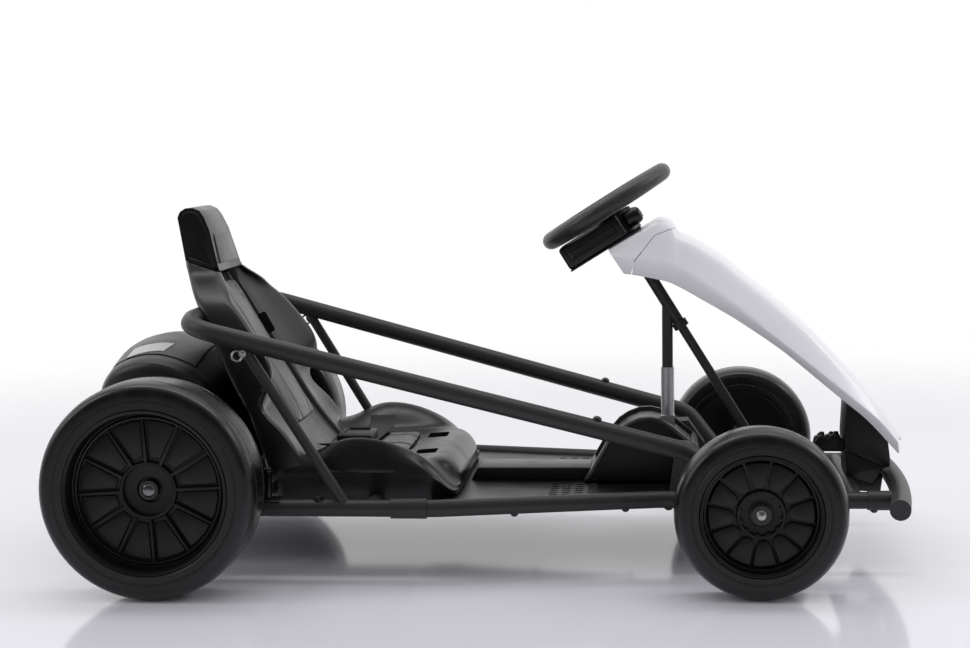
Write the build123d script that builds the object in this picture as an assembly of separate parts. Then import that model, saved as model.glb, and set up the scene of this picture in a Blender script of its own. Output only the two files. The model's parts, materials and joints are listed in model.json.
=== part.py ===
# Child's electric drift kart: a tubular steel frame with a bucket seat, two driven rear wheels
# and two steered front wheels.
# Millimetres. +X is forward, +Z is up, and the origin is on the floor under the middle of the kart.
# The driver's right side is at -Y.
from build123d import *
import math
import os

os.makedirs("parts", exist_ok=True)

# Overall places
wheelbase = 714.0
rear_axle_x = -396.5
front_axle_x = rear_axle_x + wheelbase

# Rear wheels
rear_wheel_r = 130.0
rear_tyre_wall = 34.0
rear_wheel_width = 80.0
rear_wheel_y = 287.0
rear_rim_r = rear_wheel_r - rear_tyre_wall
rear_panel_r = rear_rim_r - 10.0
rear_ring_r = 32.0
rear_recess = 20.0
rear_hub_out = 6.0
rear_axle_r = 8.0

# Front wheels
front_wheel_r = 100.5
front_tyre_wall = 31.0
front_wheel_width = 60.0
front_wheel_y = 270.0
front_rim_r = front_wheel_r - front_tyre_wall
front_panel_r = front_rim_r - 6.0
front_ring_r = 26.0
front_recess = 14.0
front_hub_out = 8.0
spindle_r = 6.0

# Shared wheel details
spokes = 12
rim_wall = 4.5
disc_thickness = 6.0
spoke_width = 3.0
spoke_height = 6.0
cap_r = 11.3
cap_length = 11.0
cap_room = 3.0
hub_wall = 12.0
running_clearance = 0.05
side_clearance = 1.0
seat_gap = 0.3

# Lower rails
rail_r = 10.5
rail_z = 88.5
rail_rear_x = -462.0
rail_rear_y = 200.0
rail_bend_x = -68.0
rail_front_bend_x = front_axle_x - 117.5
rail_front_y = 138.0
rail_front_x = front_axle_x + 138.5
rail_bend_r = 60.0
sleeve_r = rail_r + 2.0
sleeve_x = -103.0
sleeve_length = 44.0

# Upper hoop tube
hoop_r = 11.5
hoop_slope = -0.2666
hoop_ref_x = -323.0
hoop_ref_z = 301.7
hoop_front_x = front_axle_x - 77.5
hoop_front_y = 165.7
hoop_foot_x = front_axle_x - 26.5
hoop_corner_x = -366.0
hoop_corner_y = 216.9
hoop_back_x = -378.0
hoop_back_y = 150.0
hoop_bend_r = 40.0
hoop_bow_r = 100.0
groove_clearance = 0.6

# Rear struts
strut_r = 6.5
strut_top_x = -306.0
strut_foot_x = -178.0

# Bumper
bumper_r = 12.5
bumper_z = 93.5
bumper_mid_x = front_axle_x + 184.0
bumper_bow_r = 1290.0
bumper_bow_half = 182.0
bumper_straight = 38.0
bumper_cap = 2.0
socket_r = rail_r + 1.5
socket_length = 40.0

# Cross tubes
cross_r = 10.0
low_cross_r = 6.5
rear_cross_x = -440.0
middle_cross_x = -322.0
seat_cross_x = -150.0
post_cross_x = front_axle_x - 105.5
nose_cross_x = front_axle_x + 122.5

# Front axle beam and steering knuckles
beam_size = 20.0
beam_z = front_wheel_r
kingpin_y = 214.0
yoke_reach = 23.0
beam_half = kingpin_y - yoke_reach
kingpin_r = 5.0
yoke_plate = 5.0
yoke_half_x = 11.0
yoke_inner = 34.0
knuckle_r = 11.0
knuckle_arm = 40.0
arm_half = 6.0
arm_thickness = 6.0
pin_r = 4.0

# Steering column
steer_tilt = math.radians(31.6)
wheel_x = front_axle_x - 183.5
wheel_z = 445.5
steer_ring_r = 83.5
steer_grip_r = 11.5
shaft_r = 6.0
column_r = 7.5
column_start = 48.0
column_end = 185.0
collar_r = 10.0
collar_length = 9.0
bearing_at = 371.0
bearing_r = 13.0
bearing_length = 16.0
drop_arm_at = 398.0
drop_hub_r = shaft_r + 4.5
drop_arm_length = 32.0
drop_arm_thickness = 5.0
tie_rod_r = 4.0
tie_eye_r = 10.5
tie_eye_length = 9.0
tie_eye_gap = 1.2
tie_eye_clearance = 3.0

# Column post
post_x = post_cross_x
post_r = 7.0
post_sleeve_r = 8.5
post_foot_z = 168.0
post_sleeve_top_z = 236.0
post_pin_z = 160.0
post_lug = 4.0
post_lug_y = 6.0
post_pin_r = 3.0

# Floor pan
pan_top_z = 92.0
pan_thickness = 4.0
pan_rear_x = -55.0
pan_front_x = front_axle_x - 32.5
slot_first_x = front_axle_x - 249.5
slot_first_y = 61.0
slot_pitch = 16.0
slot_row_pitch = 13.6
slot_columns = 4
slot_rows = 6
ridge_half = 33.0
ridge_height = 17.0
ridge_rear_x = -44.0
ridge_front_x = front_axle_x - 193.5

# Console, nose and cowl
console_half = 55.0
console_side_wall = 4.0
console_lip = 4.0
cowl_half = 32.0
cowl_wall = 3.0
pod_half = 50.0
pod_wall = 4.0
pod_top_at = 47.5
nose_wall = 4.0
nose_tip_r = 180.0
nose_tip_x = front_axle_x + 192.9
flange_half = 14.0

# Seat
seat_recline = 0.577
pad_thickness = 8.0
headrest_half = 63.0
headrest_top_half = 47.0
back_pad_half = 55.0
cushion_pad_half = 78.0
seat_wall = 6.0

# Rear cover
cover_half = 150.0
cover_wall = 4.0
cover_bottom_z = rail_z + cross_r + seat_gap
battery_half = 72.0
battery_rear_x = -495.0
battery_front_x = -412.0
battery_height = 105.0

# Gearboxes and pedals
gearbox_rear = 34.0
gearbox_front = 52.0
gearbox_rise = 38.0
gearbox_in = 14.0
gearbox_gap = 6.0
pedal_near_y = 78.0
pedal_far_y = 112.0
pedal_rise = 61.0
pedal_wall = 3.0

# Steering frame: the column runs down and forward along column_dir, and its wheel lies across it.
column_dir = Vector(math.sin(steer_tilt), 0, -math.cos(steer_tilt))
across_dir = Vector(math.cos(steer_tilt), 0, math.sin(steer_tilt))
wheel_centre = Vector(wheel_x, 0, wheel_z)


def save(node, shape):
    """Write one node to its own file."""
    export_step(shape, "parts/" + node + ".step")


def rod(start, end, radius):
    """A round bar from one point to another."""
    start = Vector(*start)
    way = Vector(*end) - start
    return Plane(origin=start, z_dir=way.normalized()) * extrude(Circle(radius), way.length)


def pipe(points, radii, radius):
    """A round tube along straight runs joined by arcs."""
    path = FilletPolyline(*points, radius=radii)
    ring = Plane(origin=path @ 0, z_dir=path % 0) * Circle(radius)
    return sweep(ring, path=path)


def block(x0, x1, y0, y1, z0, z1):
    """A box between two corners."""
    size = (x1 - x0, y1 - y0, z1 - z0)
    return Pos((x0 + x1) / 2, (y0 + y1) / 2, (z0 + z1) / 2) * Box(*size)


def slab(points, y0, y1):
    """A side outline in X and Z, carried from y0 to y1."""
    outline = make_face(Polyline(*[(x, y0, z) for x, z in points], close=True))
    return extrude(outline, y1 - y0, dir=(0, 1, 0))


def level(points, z0, z1):
    """A plan outline in X and Y, carried from z0 to z1."""
    outline = make_face(Polyline(*[(x, y, z0) for x, y in points], close=True))
    return extrude(outline, z1 - z0, dir=(0, 0, 1))


def ahead(points):
    """Points whose X is counted from the front axle, at their place."""
    return [(front_axle_x + x, *rest) for x, *rest in points]


def flip(shape):
    """The same shape on the other side of the kart."""
    return mirror(shape, about=Plane.XZ)


def front_view(points, x0, x1):
    """An outline in Y and Z, carried from x0 to x1."""
    outline = make_face(Polyline(*[(x0, y, z) for y, z in points], close=True))
    return extrude(outline, x1 - x0, dir=(1, 0, 0))


def on_column(distance, aside=0.0):
    """A point at a distance down the column's line, and aside from it, across and up."""
    return wheel_centre + column_dir * distance + across_dir * aside


def column_bar(start, end, radius, aside=0.0):
    """A round bar along the column between two distances from the steering wheel's middle."""
    return rod(on_column(start, aside), on_column(end, aside), radius)


def hoop_z(x):
    """Height of the hoop's plane at x."""
    return hoop_ref_z + (x - hoop_ref_x) * hoop_slope


def hoop_y(x):
    """Distance of a straight side of the hoop from the middle at x."""
    share = (x - hoop_corner_x) / (hoop_front_x - hoop_corner_x)
    return hoop_corner_y + (hoop_front_y - hoop_corner_y) * share


def tyre(radius, width, seat_r):
    """A tyre with a rounded crown, turned about Y at the origin."""
    half = width / 2
    wall = radius - seat_r
    profile = Polyline((seat_r, half), (radius - wall * 0.42, half))
    shoulder = ThreePointArc(
        (radius - wall * 0.42, half), (radius - wall * 0.20, half * 0.93), (radius - wall * 0.08, half * 0.74)
    )
    edge = radius - wall * 0.08
    crown = ThreePointArc((edge, half * 0.74), (radius, 0), (edge, -half * 0.74))
    shoulder2 = ThreePointArc(
        (edge, -half * 0.74), (radius - wall * 0.20, -half * 0.93), (radius - wall * 0.42, -half)
    )
    profile2 = Polyline((radius - wall * 0.42, -half), (seat_r, -half), (seat_r, half))
    face = make_face([profile, shoulder, crown, shoulder2, profile2])
    return revolve(face, Axis.Y)


def ring(outer, inner, y0, y1):
    """A ring about Y between y0 and y1."""
    ring_face = Circle(outer) - Circle(inner)
    return Plane(origin=(0, y0, 0), z_dir=(0, 1, 0)) * extrude(ring_face, y1 - y0)


def rim(seat_r, width, panel_r, ring_r, recess, hub_out, bore_r, first_angle, petals):
    """A wheel disc about Y, its open face at +Y: barrel, lips, disc, hub ring and spokes."""
    half = width / 2
    face_y = half - recess
    barrel = ring(seat_r, seat_r - rim_wall, -half, half)
    lip = ring(seat_r, panel_r - 2, face_y, half - recess * 0.45)
    disc = ring(seat_r - rim_wall / 2, bore_r, face_y - spoke_height - disc_thickness, face_y - spoke_height)
    hub_ring = ring(ring_r, ring_r - 4, face_y - spoke_height, face_y + 1)
    hub = ring(bore_r + hub_wall, bore_r, -half + 6, face_y - spoke_height)
    pocket = Plane(origin=(0, hub_out, 0), z_dir=(0, 1, 0)) * extrude(Circle(cap_r + cap_room), half)
    body = (barrel + lip + disc + hub_ring + hub) - pocket
    for number in range(spokes):
        angle = first_angle + 360.0 / spokes * number
        if petals:
            inner = ring_r + 3.0
            outer = panel_r - 2.5
            reach = math.radians(180.0 / spokes)
            low = inner * math.sin(reach) - 1.4
            high = outer * math.sin(reach) - 1.4
            leaf = Polyline((inner + 2, -low), (outer, -high), (outer, high), (inner + 2, low))
            nose = ThreePointArc((inner + 2, low), (inner - 1.5, 0), (inner + 2, -low))
            outline = make_face([leaf, nose])
            piece = Plane.XZ * extrude(outline, -spoke_height * 0.7)
            piece = Pos(0, face_y - spoke_height, 0) * piece
            body += piece.rotate(Axis.Y, angle + 15.0)
        else:
            low_y = face_y - spoke_height
            piece = block(ring_r - 2, panel_r, low_y, face_y, -spoke_width / 2, spoke_width / 2)
            body += piece.rotate(Axis.Y, angle)
    return body


def wheel(node, x, y, z, side, tyre_shape, rim_shape):
    """Write the tyre and the disc of one wheel, its face turned outwards."""
    for kind, shape in (("tyre", tyre_shape), ("rim", rim_shape)):
        placed = shape if side > 0 else flip(shape)
        save(kind + "_" + node, Pos(x, y * side, z) * placed)


sides = (("left", 1), ("right", -1))

# Wheels
rear_tyre = tyre(rear_wheel_r, rear_wheel_width, rear_rim_r)
rear_bore_r = rear_axle_r + running_clearance
rear_rim = rim(
    rear_rim_r, rear_wheel_width, rear_panel_r, rear_ring_r, rear_recess, rear_hub_out, rear_bore_r,
    3.0, False
)
front_tyre = tyre(front_wheel_r, front_wheel_width, front_rim_r)
front_bore_r = spindle_r + running_clearance
front_rim = rim(
    front_rim_r, front_wheel_width, front_panel_r, front_ring_r, front_recess, front_hub_out, front_bore_r,
    19.0, True
)
for name, side in sides:
    wheel("rear_" + name, rear_axle_x, rear_wheel_y, rear_wheel_r, side, rear_tyre, rear_rim)
    wheel("front_" + name, front_axle_x, front_wheel_y, front_wheel_r, side, front_tyre, front_rim)

# Rear axle with its end nuts
rear_hub_end = rear_wheel_y + rear_hub_out
axle_end = rear_hub_end + side_clearance + cap_length
rear_axle = rod((rear_axle_x, -axle_end, rear_wheel_r), (rear_axle_x, axle_end, rear_wheel_r), rear_axle_r)
for side in (1, -1):
    nut_start = (rear_axle_x, (rear_hub_end + side_clearance) * side, rear_wheel_r)
    rear_axle += rod(nut_start, (rear_axle_x, axle_end * side, rear_wheel_r), cap_r)

# Rails
rail_points = [
    (rail_rear_x, rail_rear_y, rail_z),
    (rail_bend_x, rail_rear_y, rail_z),
    (rail_front_bend_x, rail_front_y, rail_z),
    (rail_front_x, rail_front_y, rail_z),
]
rail = pipe(rail_points, [rail_bend_r, rail_bend_r], rail_r)
sleeve_start = (sleeve_x - sleeve_length / 2, rail_rear_y, rail_z)
sleeve_stop = (sleeve_x + sleeve_length / 2, rail_rear_y, rail_z)
sleeve = rod(sleeve_start, sleeve_stop, sleeve_r) - rod(sleeve_start, sleeve_stop, rail_r)

# Front axle beam with its yokes and kingpins
beam = block(
    front_axle_x - beam_size / 2, front_axle_x + beam_size / 2, -beam_half, beam_half,
    beam_z - beam_size / 2, beam_z + beam_size / 2,
)
yoke_low = beam_z - yoke_inner / 2
yoke_high = beam_z + yoke_inner / 2
yoke_end = kingpin_y + knuckle_r + 1
yoke = block(
    front_axle_x - yoke_half_x, front_axle_x + yoke_half_x, beam_half, yoke_end,
    yoke_low - yoke_plate, yoke_high + yoke_plate,
)
yoke -= block(
    front_axle_x - yoke_half_x - 1, front_axle_x + yoke_half_x + 1, beam_half + yoke_plate, yoke_end + 1,
    yoke_low, yoke_high,
)
kingpin_low = (front_axle_x, kingpin_y, yoke_low - yoke_plate - 3)
kingpin_high = (front_axle_x, kingpin_y, yoke_high + yoke_plate + 3)
kingpin = rod(kingpin_low, kingpin_high, kingpin_r)
end_piece = yoke + kingpin
bearing = column_bar(bearing_at - bearing_length / 2, bearing_at + bearing_length / 2, bearing_r)
bearing_middle = on_column(bearing_at)
beam_top = beam_z + beam_size / 2
web_side = [(front_axle_x - 10, beam_top - 1), (front_axle_x + 9, beam_top - 1),
            (bearing_middle.X + 1, bearing_middle.Z), (bearing_middle.X - 12, bearing_middle.Z)]
bearing_web = slab(web_side, -8, 8)
front_axle_beam = beam + end_piece + flip(end_piece) + bearing + bearing_web
front_axle_beam -= column_bar(bearing_at - 60, bearing_at + 60, shaft_r + running_clearance)

# Knuckles, one on each kingpin
knuckle_low = yoke_low + side_clearance
knuckle_high = yoke_high - side_clearance
front_hub_start = front_wheel_y - front_wheel_width / 2 + 6
front_hub_stop = front_wheel_y + front_hub_out
arm_low = knuckle_low
arm_high = knuckle_low + arm_thickness
arm_x = front_axle_x + knuckle_arm
knuckle = rod((front_axle_x, kingpin_y, knuckle_low), (front_axle_x, kingpin_y, knuckle_high), knuckle_r)
spindle_start = (front_axle_x, kingpin_y, front_wheel_r)
knuckle += rod(spindle_start, (front_axle_x, front_hub_start - 2, front_wheel_r), spindle_r + 4)
knuckle += rod(spindle_start, (front_axle_x, front_hub_stop + 1, front_wheel_r), spindle_r)
knuckle += rod(
    (front_axle_x, front_hub_stop + side_clearance, front_wheel_r),
    (front_axle_x, front_hub_stop + side_clearance + cap_length, front_wheel_r), cap_r,
)
knuckle += block(front_axle_x, arm_x, kingpin_y - arm_half, kingpin_y + arm_half, arm_low, arm_high)
knuckle += rod((arm_x, kingpin_y, arm_low), (arm_x, kingpin_y, arm_high), arm_half)
tie_z = arm_high + tie_eye_gap + tie_eye_length / 2
knuckle += rod((arm_x, kingpin_y, arm_high), (arm_x, kingpin_y, tie_z + tie_eye_length / 2 + 3), pin_r)
knuckle -= rod((front_axle_x, kingpin_y, 0), (front_axle_x, kingpin_y, 200), kingpin_r + running_clearance)

# Tie rods: an eye on the knuckle's pin, and an eye round the drop arm's pin
drop_top = drop_arm_at - drop_arm_thickness / 2
tie_heights = {
    "left": drop_top - tie_eye_gap - tie_eye_length / 2,
    "right": drop_top - 2 * tie_eye_gap - tie_eye_length * 1.5,
}
tie_rods = {}
for name, side in sides:
    outer = Vector(arm_x, kingpin_y * side, tie_z)
    inner = on_column(tie_heights[name], drop_arm_length)
    way = (inner - outer).normalized()
    shape = rod(outer, inner, tie_rod_r)
    eye_half = tie_eye_length / 2
    shape += rod(outer - Vector(0, 0, eye_half), outer + Vector(0, 0, eye_half), tie_eye_r - 1.5)
    eye_at = tie_heights[name]
    shape += column_bar(eye_at - eye_half, eye_at + eye_half, tie_eye_r, drop_arm_length)
    shape -= rod(outer - Vector(0, 0, 30), outer + Vector(0, 0, 30), pin_r + running_clearance)
    bore_r = pin_r + tie_eye_clearance
    shape -= column_bar(eye_at - 30, eye_at + 30, bore_r, drop_arm_length)
    tie_rods[name] = shape.solids().sort_by(SortBy.VOLUME)[-1]

# Steering wheel, shaft and drop arm
steer_plane = Plane(origin=wheel_centre, x_dir=across_dir, z_dir=column_dir)
steering_wheel = steer_plane * Torus(steer_ring_r, steer_grip_r)
spoke_plate = steer_plane * (Pos(0, 0, -2.5) * extrude(Circle(30), 7))
for angle in (90, 180, 270):
    bar = Rot(0, 0, angle) * (Pos(steer_ring_r / 2, 0, 1) * Box(steer_ring_r - 4, 22, 5))
    spoke_plate += steer_plane * bar
steering_wheel += spoke_plate
steering_wheel -= column_bar(-20, 40, shaft_r)
steering_shaft = column_bar(-6, drop_arm_at + 6, shaft_r)
drop_arm = column_bar(drop_arm_at - drop_arm_thickness / 2, drop_arm_at + drop_arm_thickness / 2, drop_hub_r)
drop_arm += column_bar(drop_top, drop_top + drop_arm_thickness, 7.5, drop_arm_length)
arm_bar = steer_plane * (
    Pos(drop_arm_length / 2, 0, drop_arm_at) * Box(drop_arm_length, 13, drop_arm_thickness)
)
drop_arm += arm_bar
drop_arm += column_bar(tie_heights["right"] - tie_eye_length / 2 - 6, drop_top + 1, pin_r, drop_arm_length)
steering_shaft += drop_arm

# Column tube, post and sleeve
column_solid = column_bar(column_start, column_end, column_r)
column_solid += column_bar(column_end - collar_length, column_end, collar_r)
column_tube = column_solid - column_bar(0, column_end + 20, shaft_r + running_clearance)
post_top = Vector(post_x, 0, wheel_z - (post_x - wheel_x) / math.tan(steer_tilt))
post = rod((post_x, 0, post_foot_z + 20), (post_x, 0, post_top.Z), post_r)
post -= column_solid
post = post.solids().sort_by(SortBy.VOLUME)[-1]
post_sleeve = rod((post_x, 0, post_foot_z), (post_x, 0, post_sleeve_top_z), post_sleeve_r)
post_sleeve -= rod((post_x, 0, post_foot_z + 20), (post_x, 0, post_sleeve_top_z + 1), post_r)
for side in (1, -1):
    y0 = post_lug_y * side
    y1 = (post_lug_y + post_lug) * side
    post_sleeve += block(post_x - 9, post_x + 9, min(y0, y1), max(y0, y1), post_pin_z - 8, post_foot_z + 1)
post_sleeve += block(post_x - 9, post_x + 9, -10, 10, post_foot_z - 1, post_foot_z + 5)
post_sleeve -= rod((post_x, -30, post_pin_z), (post_x, 30, post_pin_z), post_pin_r)

# Cross tubes between the rails
rail_solid = rail + flip(rail)


def rail_y(x):
    """Distance from the middle to a rail's centre line at x."""
    share = min(max((x - rail_bend_x) / (rail_front_bend_x - rail_bend_x), 0.0), 1.0)
    return rail_rear_y + (rail_front_y - rail_rear_y) * share


def rail_inner(x):
    """Distance from the middle to a rail's inner side at x."""
    return rail_y(x) - rail_r - side_clearance


def cross_tube(x, z, radius):
    """A round tube from rail to rail at x, its ends cut to the rails."""
    tube = rod((x, -rail_y(x), z), (x, rail_y(x), z), radius) - rail_solid
    return tube.solids().sort_by(lambda piece: abs(piece.center().Y))[0]


pan_bottom_z = pan_top_z - pan_thickness
low_cross_z = pan_bottom_z - seat_gap - low_cross_r
post_cross = cross_tube(post_cross_x, low_cross_z, low_cross_r)
post_cross += block(post_x - 8, post_x + 8, -5.5, 5.5, low_cross_z, post_pin_z + 7)
post_cross += rod((post_x, -12, post_pin_z), (post_x, 12, post_pin_z), post_pin_r)
cross_places = (rear_cross_x, middle_cross_x, seat_cross_x, nose_cross_x)
cross_tubes = [cross_tube(x, rail_z, cross_r) for x in cross_places]
cross_tubes.append(post_cross)

# Upper hoop in three tubes: a back bow and two sides that bend down to the rails
foot_y = rail_front_y
side_points = [
    (hoop_ref_x, hoop_y(hoop_ref_x), hoop_ref_z),
    (hoop_front_x, hoop_front_y, hoop_z(hoop_front_x)),
    (hoop_foot_x, foot_y, rail_z),
]
upper_tube = pipe(side_points, [45], hoop_r) - rail_solid
upper_tube = upper_tube.solids().sort_by(SortBy.VOLUME)[-1]
back_points = [
    (hoop_ref_x, hoop_y(hoop_ref_x), hoop_ref_z),
    (hoop_corner_x, hoop_corner_y, hoop_z(hoop_corner_x)),
    (hoop_back_x, hoop_back_y, hoop_z(hoop_back_x)),
    (hoop_back_x, -hoop_back_y, hoop_z(hoop_back_x)),
    (hoop_corner_x, -hoop_corner_y, hoop_z(hoop_corner_x)),
    (hoop_ref_x, -hoop_y(hoop_ref_x), hoop_ref_z),
]
back_bends = [hoop_bend_r, hoop_bow_r, hoop_bow_r, hoop_bend_r]
hoop_back = pipe(back_points, back_bends, hoop_r)
seat_groove = pipe(back_points, back_bends, hoop_r + groove_clearance)

# Struts from the hoop to the rails
strut_top = (strut_top_x, hoop_y(strut_top_x), hoop_z(strut_top_x))
strut = rod((strut_foot_x, rail_rear_y, rail_z), strut_top, strut_r)
strut = (strut - upper_tube - rail_solid).solids().sort_by(SortBy.VOLUME)[-1]

# Bumper
bow_turn = math.asin(bumper_bow_half / bumper_bow_r)
bow_x = bumper_mid_x - bumper_bow_r * (1 - math.cos(bow_turn))
end_way = Vector(-math.sin(bow_turn), math.cos(bow_turn), 0)
bow_end = Vector(bow_x, bumper_bow_half, bumper_z)
bumper_end = bow_end + end_way * bumper_straight
bow_arc = ThreePointArc((bow_x, -bumper_bow_half, bumper_z), (bumper_mid_x, 0, bumper_z), bow_end)
bow_plane = Plane(origin=bow_arc @ 0, z_dir=bow_arc % 0)
bumper = sweep(bow_plane * Circle(bumper_r), path=bow_arc)
bumper_stub = rod(bow_end, bumper_end, bumper_r)
bumper = bumper + bumper_stub + flip(bumper_stub)
cap = rod(bumper_end, bumper_end + end_way * bumper_cap, bumper_r)
socket_x = rail_front_x - 2
socket = rod((socket_x, rail_front_y, rail_z), (socket_x + socket_length, rail_front_y, rail_z), socket_r)
socket = (socket - bumper - rail_solid).solids().sort_by(SortBy.VOLUME)[-1]

# Floor pan with a central ridge, open below, and slots in both foot areas
pan_plan = [(x, rail_inner(x)) for x in (pan_rear_x, rail_front_bend_x, pan_front_x)]
pan_plan += [(x, -y) for x, y in reversed(pan_plan)]
floor_pan = level(pan_plan, pan_bottom_z, pan_top_z)


def ridge(inset, half):
    """The central ridge, or the hollow under it when it is set in."""
    top = pan_top_z + ridge_height - inset
    low = pan_top_z - 1 - inset * 2
    side = [(ridge_rear_x + inset, low), (ridge_rear_x + 10 + inset, top),
            (ridge_front_x - 12 - inset, top), (ridge_front_x - inset, low)]
    return slab(side, -half, half)


floor_pan += ridge(0, ridge_half)
floor_pan -= ridge(pan_thickness, ridge_half - pan_thickness)
for side in (1, -1):
    for column in range(slot_columns):
        for row in range(slot_rows):
            x = slot_first_x + slot_pitch * column
            y = (slot_first_y + slot_row_pitch * row) * side
            floor_pan -= block(x - 5, x + 5, y - 3.4, y + 3.4, pan_bottom_z - 1, pan_top_z + 1)
floor_pan -= block(post_x - 11, post_x + 11, -12, 12, pan_bottom_z - 10, pan_top_z + 10)
floor_pan = floor_pan.solids().sort_by(SortBy.VOLUME)[-1]

# Console over the foot of the post: two side plates that stand up as lips beside a sunk cover
console_low = pan_top_z + seat_gap
console_side = ahead([(-216.5, console_low), (-205.5, 108), (-183.5, 147), (-169.5, 163), (-157.5, 171),
                      (-142.5, 177), (-127.5, 178), (-114.5, 175), (-99.5, 166), (-86.5, 155),
                      (-67.5, 140), (-55.5, console_low)])
console_middle = ahead([(-212.5, console_low), (-201.5, 107), (-179.5, 145), (-166.5, 159),
                        (-155.5, 167), (-141.5, 173), (-127.5, 174), (-116.5, 171.5), (-102.5, 163),
                        (-89.5, 152), (-71, 137), (-60, console_low)])
console_hollow = ahead([(-206.5, console_low - 1), (-197.5, 105), (-175.5, 142), (-163.5, 155),
                        (-153.5, 163), (-140.5, 169), (-128.5, 170), (-118.5, 168), (-104.5, 160),
                        (-92.5, 149), (-74.5, 135), (-65, console_low - 1)])
front_console = slab(console_side, -console_half, console_half)
middle_half = console_half - console_side_wall
console_room = pan_top_z + 130
front_console -= block(front_axle_x - 260, front_axle_x - 10, -middle_half, middle_half,
                       pan_bottom_z, console_room)
front_console += slab(console_middle, -middle_half - 0.5, middle_half + 0.5)
front_console -= slab(console_hollow, -middle_half, middle_half)
front_console -= ridge(-seat_gap, ridge_half + seat_gap)
front_console -= block(post_x - 14, post_x + 14, -14, 14, pan_top_z - 10, 220)
front_console = front_console.solids().sort_by(SortBy.VOLUME)[-1]

# White pod round the head of the column
pod_rear = on_column(pod_top_at, -29.3)
pod_front = on_column(pod_top_at, 24.8)
pod_side = [(pod_rear.X, pod_rear.Z), (pod_front.X, pod_front.Z)]
pod_side += ahead([(-123, 431), (-103.9, 431), (-95.5, 424), (-91.5, 408), (-91.5, 344),
                   (-105.5, 351), (-144.5, 359), (-165.5, 362), (-175.5, 375)])
column_pod = slab(pod_side, -pod_half, pod_half)
pod_outline = make_face(Polyline(*[(x, 0, z) for x, z in pod_side], close=True))
pod_hollow = extrude(offset(pod_outline, -pod_wall), pod_half - pod_wall, dir=(0, 1, 0), both=True)
column_pod -= pod_hollow
pod_front_x = front_axle_x - 91.5
column_pod -= block(pod_front_x - 8, pod_front_x + 2, -pod_half + 12, pod_half - 12, 356, 400)
column_pod += slab(ahead([(-163.5, 362.5), (-163.5, 352), (-149.5, 351), (-149.5, 360.5)]), -8, 8)
chamfer_side = ahead([(-180.5, 51, 392), (-162.5, 51, 364), (-167.5, 51, 340), (-207.5, 51, 340),
                      (-207.5, 51, 392)])
pod_chamfer = make_face(Polyline(*chamfer_side, close=True))
for side in (1, -1):
    chamfer = extrude(pod_chamfer, 34, dir=Vector(-0.3, -1, 0).normalized())
    column_pod -= chamfer if side > 0 else flip(chamfer)
column_pod -= column_bar(0, 260, column_r + seat_gap)
column_pod = column_pod.solids().sort_by(SortBy.VOLUME)[-1]

# White nose panel, lofted over sections across the kart
# columns: x from the front axle, top z, crease z, lower z, top half width, crease half width
nose_sections = ahead([
    (-91.5, 408.0, 367.0, 344.0, 36.0, 50.0),
    (-47.5, 390.0, 341.0, 320.0, 42.0, 57.0),
    (13.5, 343.0, 296.0, 281.0, 50.0, 66.0),
    (66.5, 298.0, 252.0, 243.0, 58.0, 76.0),
    (119.5, 242.0, 206.0, 197.0, 66.0, 87.0),
    (163.5, 191.0, 166.0, 156.5, 72.0, 95.0),
    (194.5, 150.0, 137.0, 128.0, 76.0, 100.0),
])


def nose_section(x, top, crease, low, top_half, crease_half):
    """One closed section of the nose across the kart."""
    points = [(x, -crease_half + 8, low), (x, -crease_half, crease), (x, -top_half, top - 6), (x, 0, top),
              (x, top_half, top - 6), (x, crease_half, crease), (x, crease_half - 8, low)]
    return make_face(Polyline(*points, close=True))


def nose_inside(x, top, crease, low, top_half, crease_half):
    """The hollow under one section of the nose, open downwards."""
    points = [(x, -crease_half + 8 + nose_wall, low - 9), (x, -crease_half + nose_wall, crease),
              (x, -top_half + nose_wall, top - 6 - nose_wall), (x, 0, top - nose_wall),
              (x, top_half - nose_wall, top - 6 - nose_wall), (x, crease_half - nose_wall, crease),
              (x, crease_half - 8 - nose_wall, low - 9)]
    return make_face(Polyline(*points, close=True))


nose_panel = loft([nose_section(*row) for row in nose_sections], ruled=True)
nose_panel -= loft([nose_inside(*row) for row in nose_sections[:5]], ruled=True)
tip_round = rod((nose_tip_x - nose_tip_r, 0, 100), (nose_tip_x - nose_tip_r, 0, 260), nose_tip_r)
nose_panel -= block(nose_tip_x - 110, nose_tip_x + 20, -110, 110, 100, 260) - tip_round
nose_panel -= column_bar(0, 260, column_r + seat_gap)
nose_panel = nose_panel.solids().sort_by(SortBy.VOLUME)[-1]


def nose_low(x):
    """Height of the nose's lower edge at x."""
    for back, front in zip(nose_sections, nose_sections[1:]):
        if back[0] <= x <= front[0]:
            return back[3] + (front[3] - back[3]) * (x - back[0]) / (front[0] - back[0])
    return nose_sections[-1][3]


# Black cowl under the nose's foot, on the front cross tube, with a flange for the nose's screws
cowl_top = [(front_axle_x + x, nose_low(front_axle_x + x) - seat_gap) for x in (121.1, 163.5, 173.5)]
cowl_side = cowl_top + ahead([(176.5, 123.5), (177.5, 110.5), (169, 108), (153.5, 88), (121.5, 96.5),
                              (118.5, 150)])
front_cowl = slab(cowl_side, -cowl_half, cowl_half)
cowl_outline = make_face(Polyline(*[(x, 0, z) for x, z in cowl_side], close=True))
front_cowl -= extrude(offset(cowl_outline, -cowl_wall), cowl_half - cowl_wall, dir=(0, 1, 0), both=True)
inner_half = cowl_half - cowl_wall
front_cowl -= block(front_axle_x + 134.5, front_axle_x + 162.5, -inner_half, inner_half, 80, 104)
flange_side = ahead([(77.5, 127), (77.5, 131), (115.5, 131), (115.5, 145), (120.5, 145), (120.5, 127)])
front_cowl += slab(flange_side, -flange_half, flange_half)
front_cowl -= bumper
for tube in cross_tubes:
    front_cowl -= tube
front_cowl = front_cowl.solids().sort_by(SortBy.VOLUME)[-1]

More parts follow.
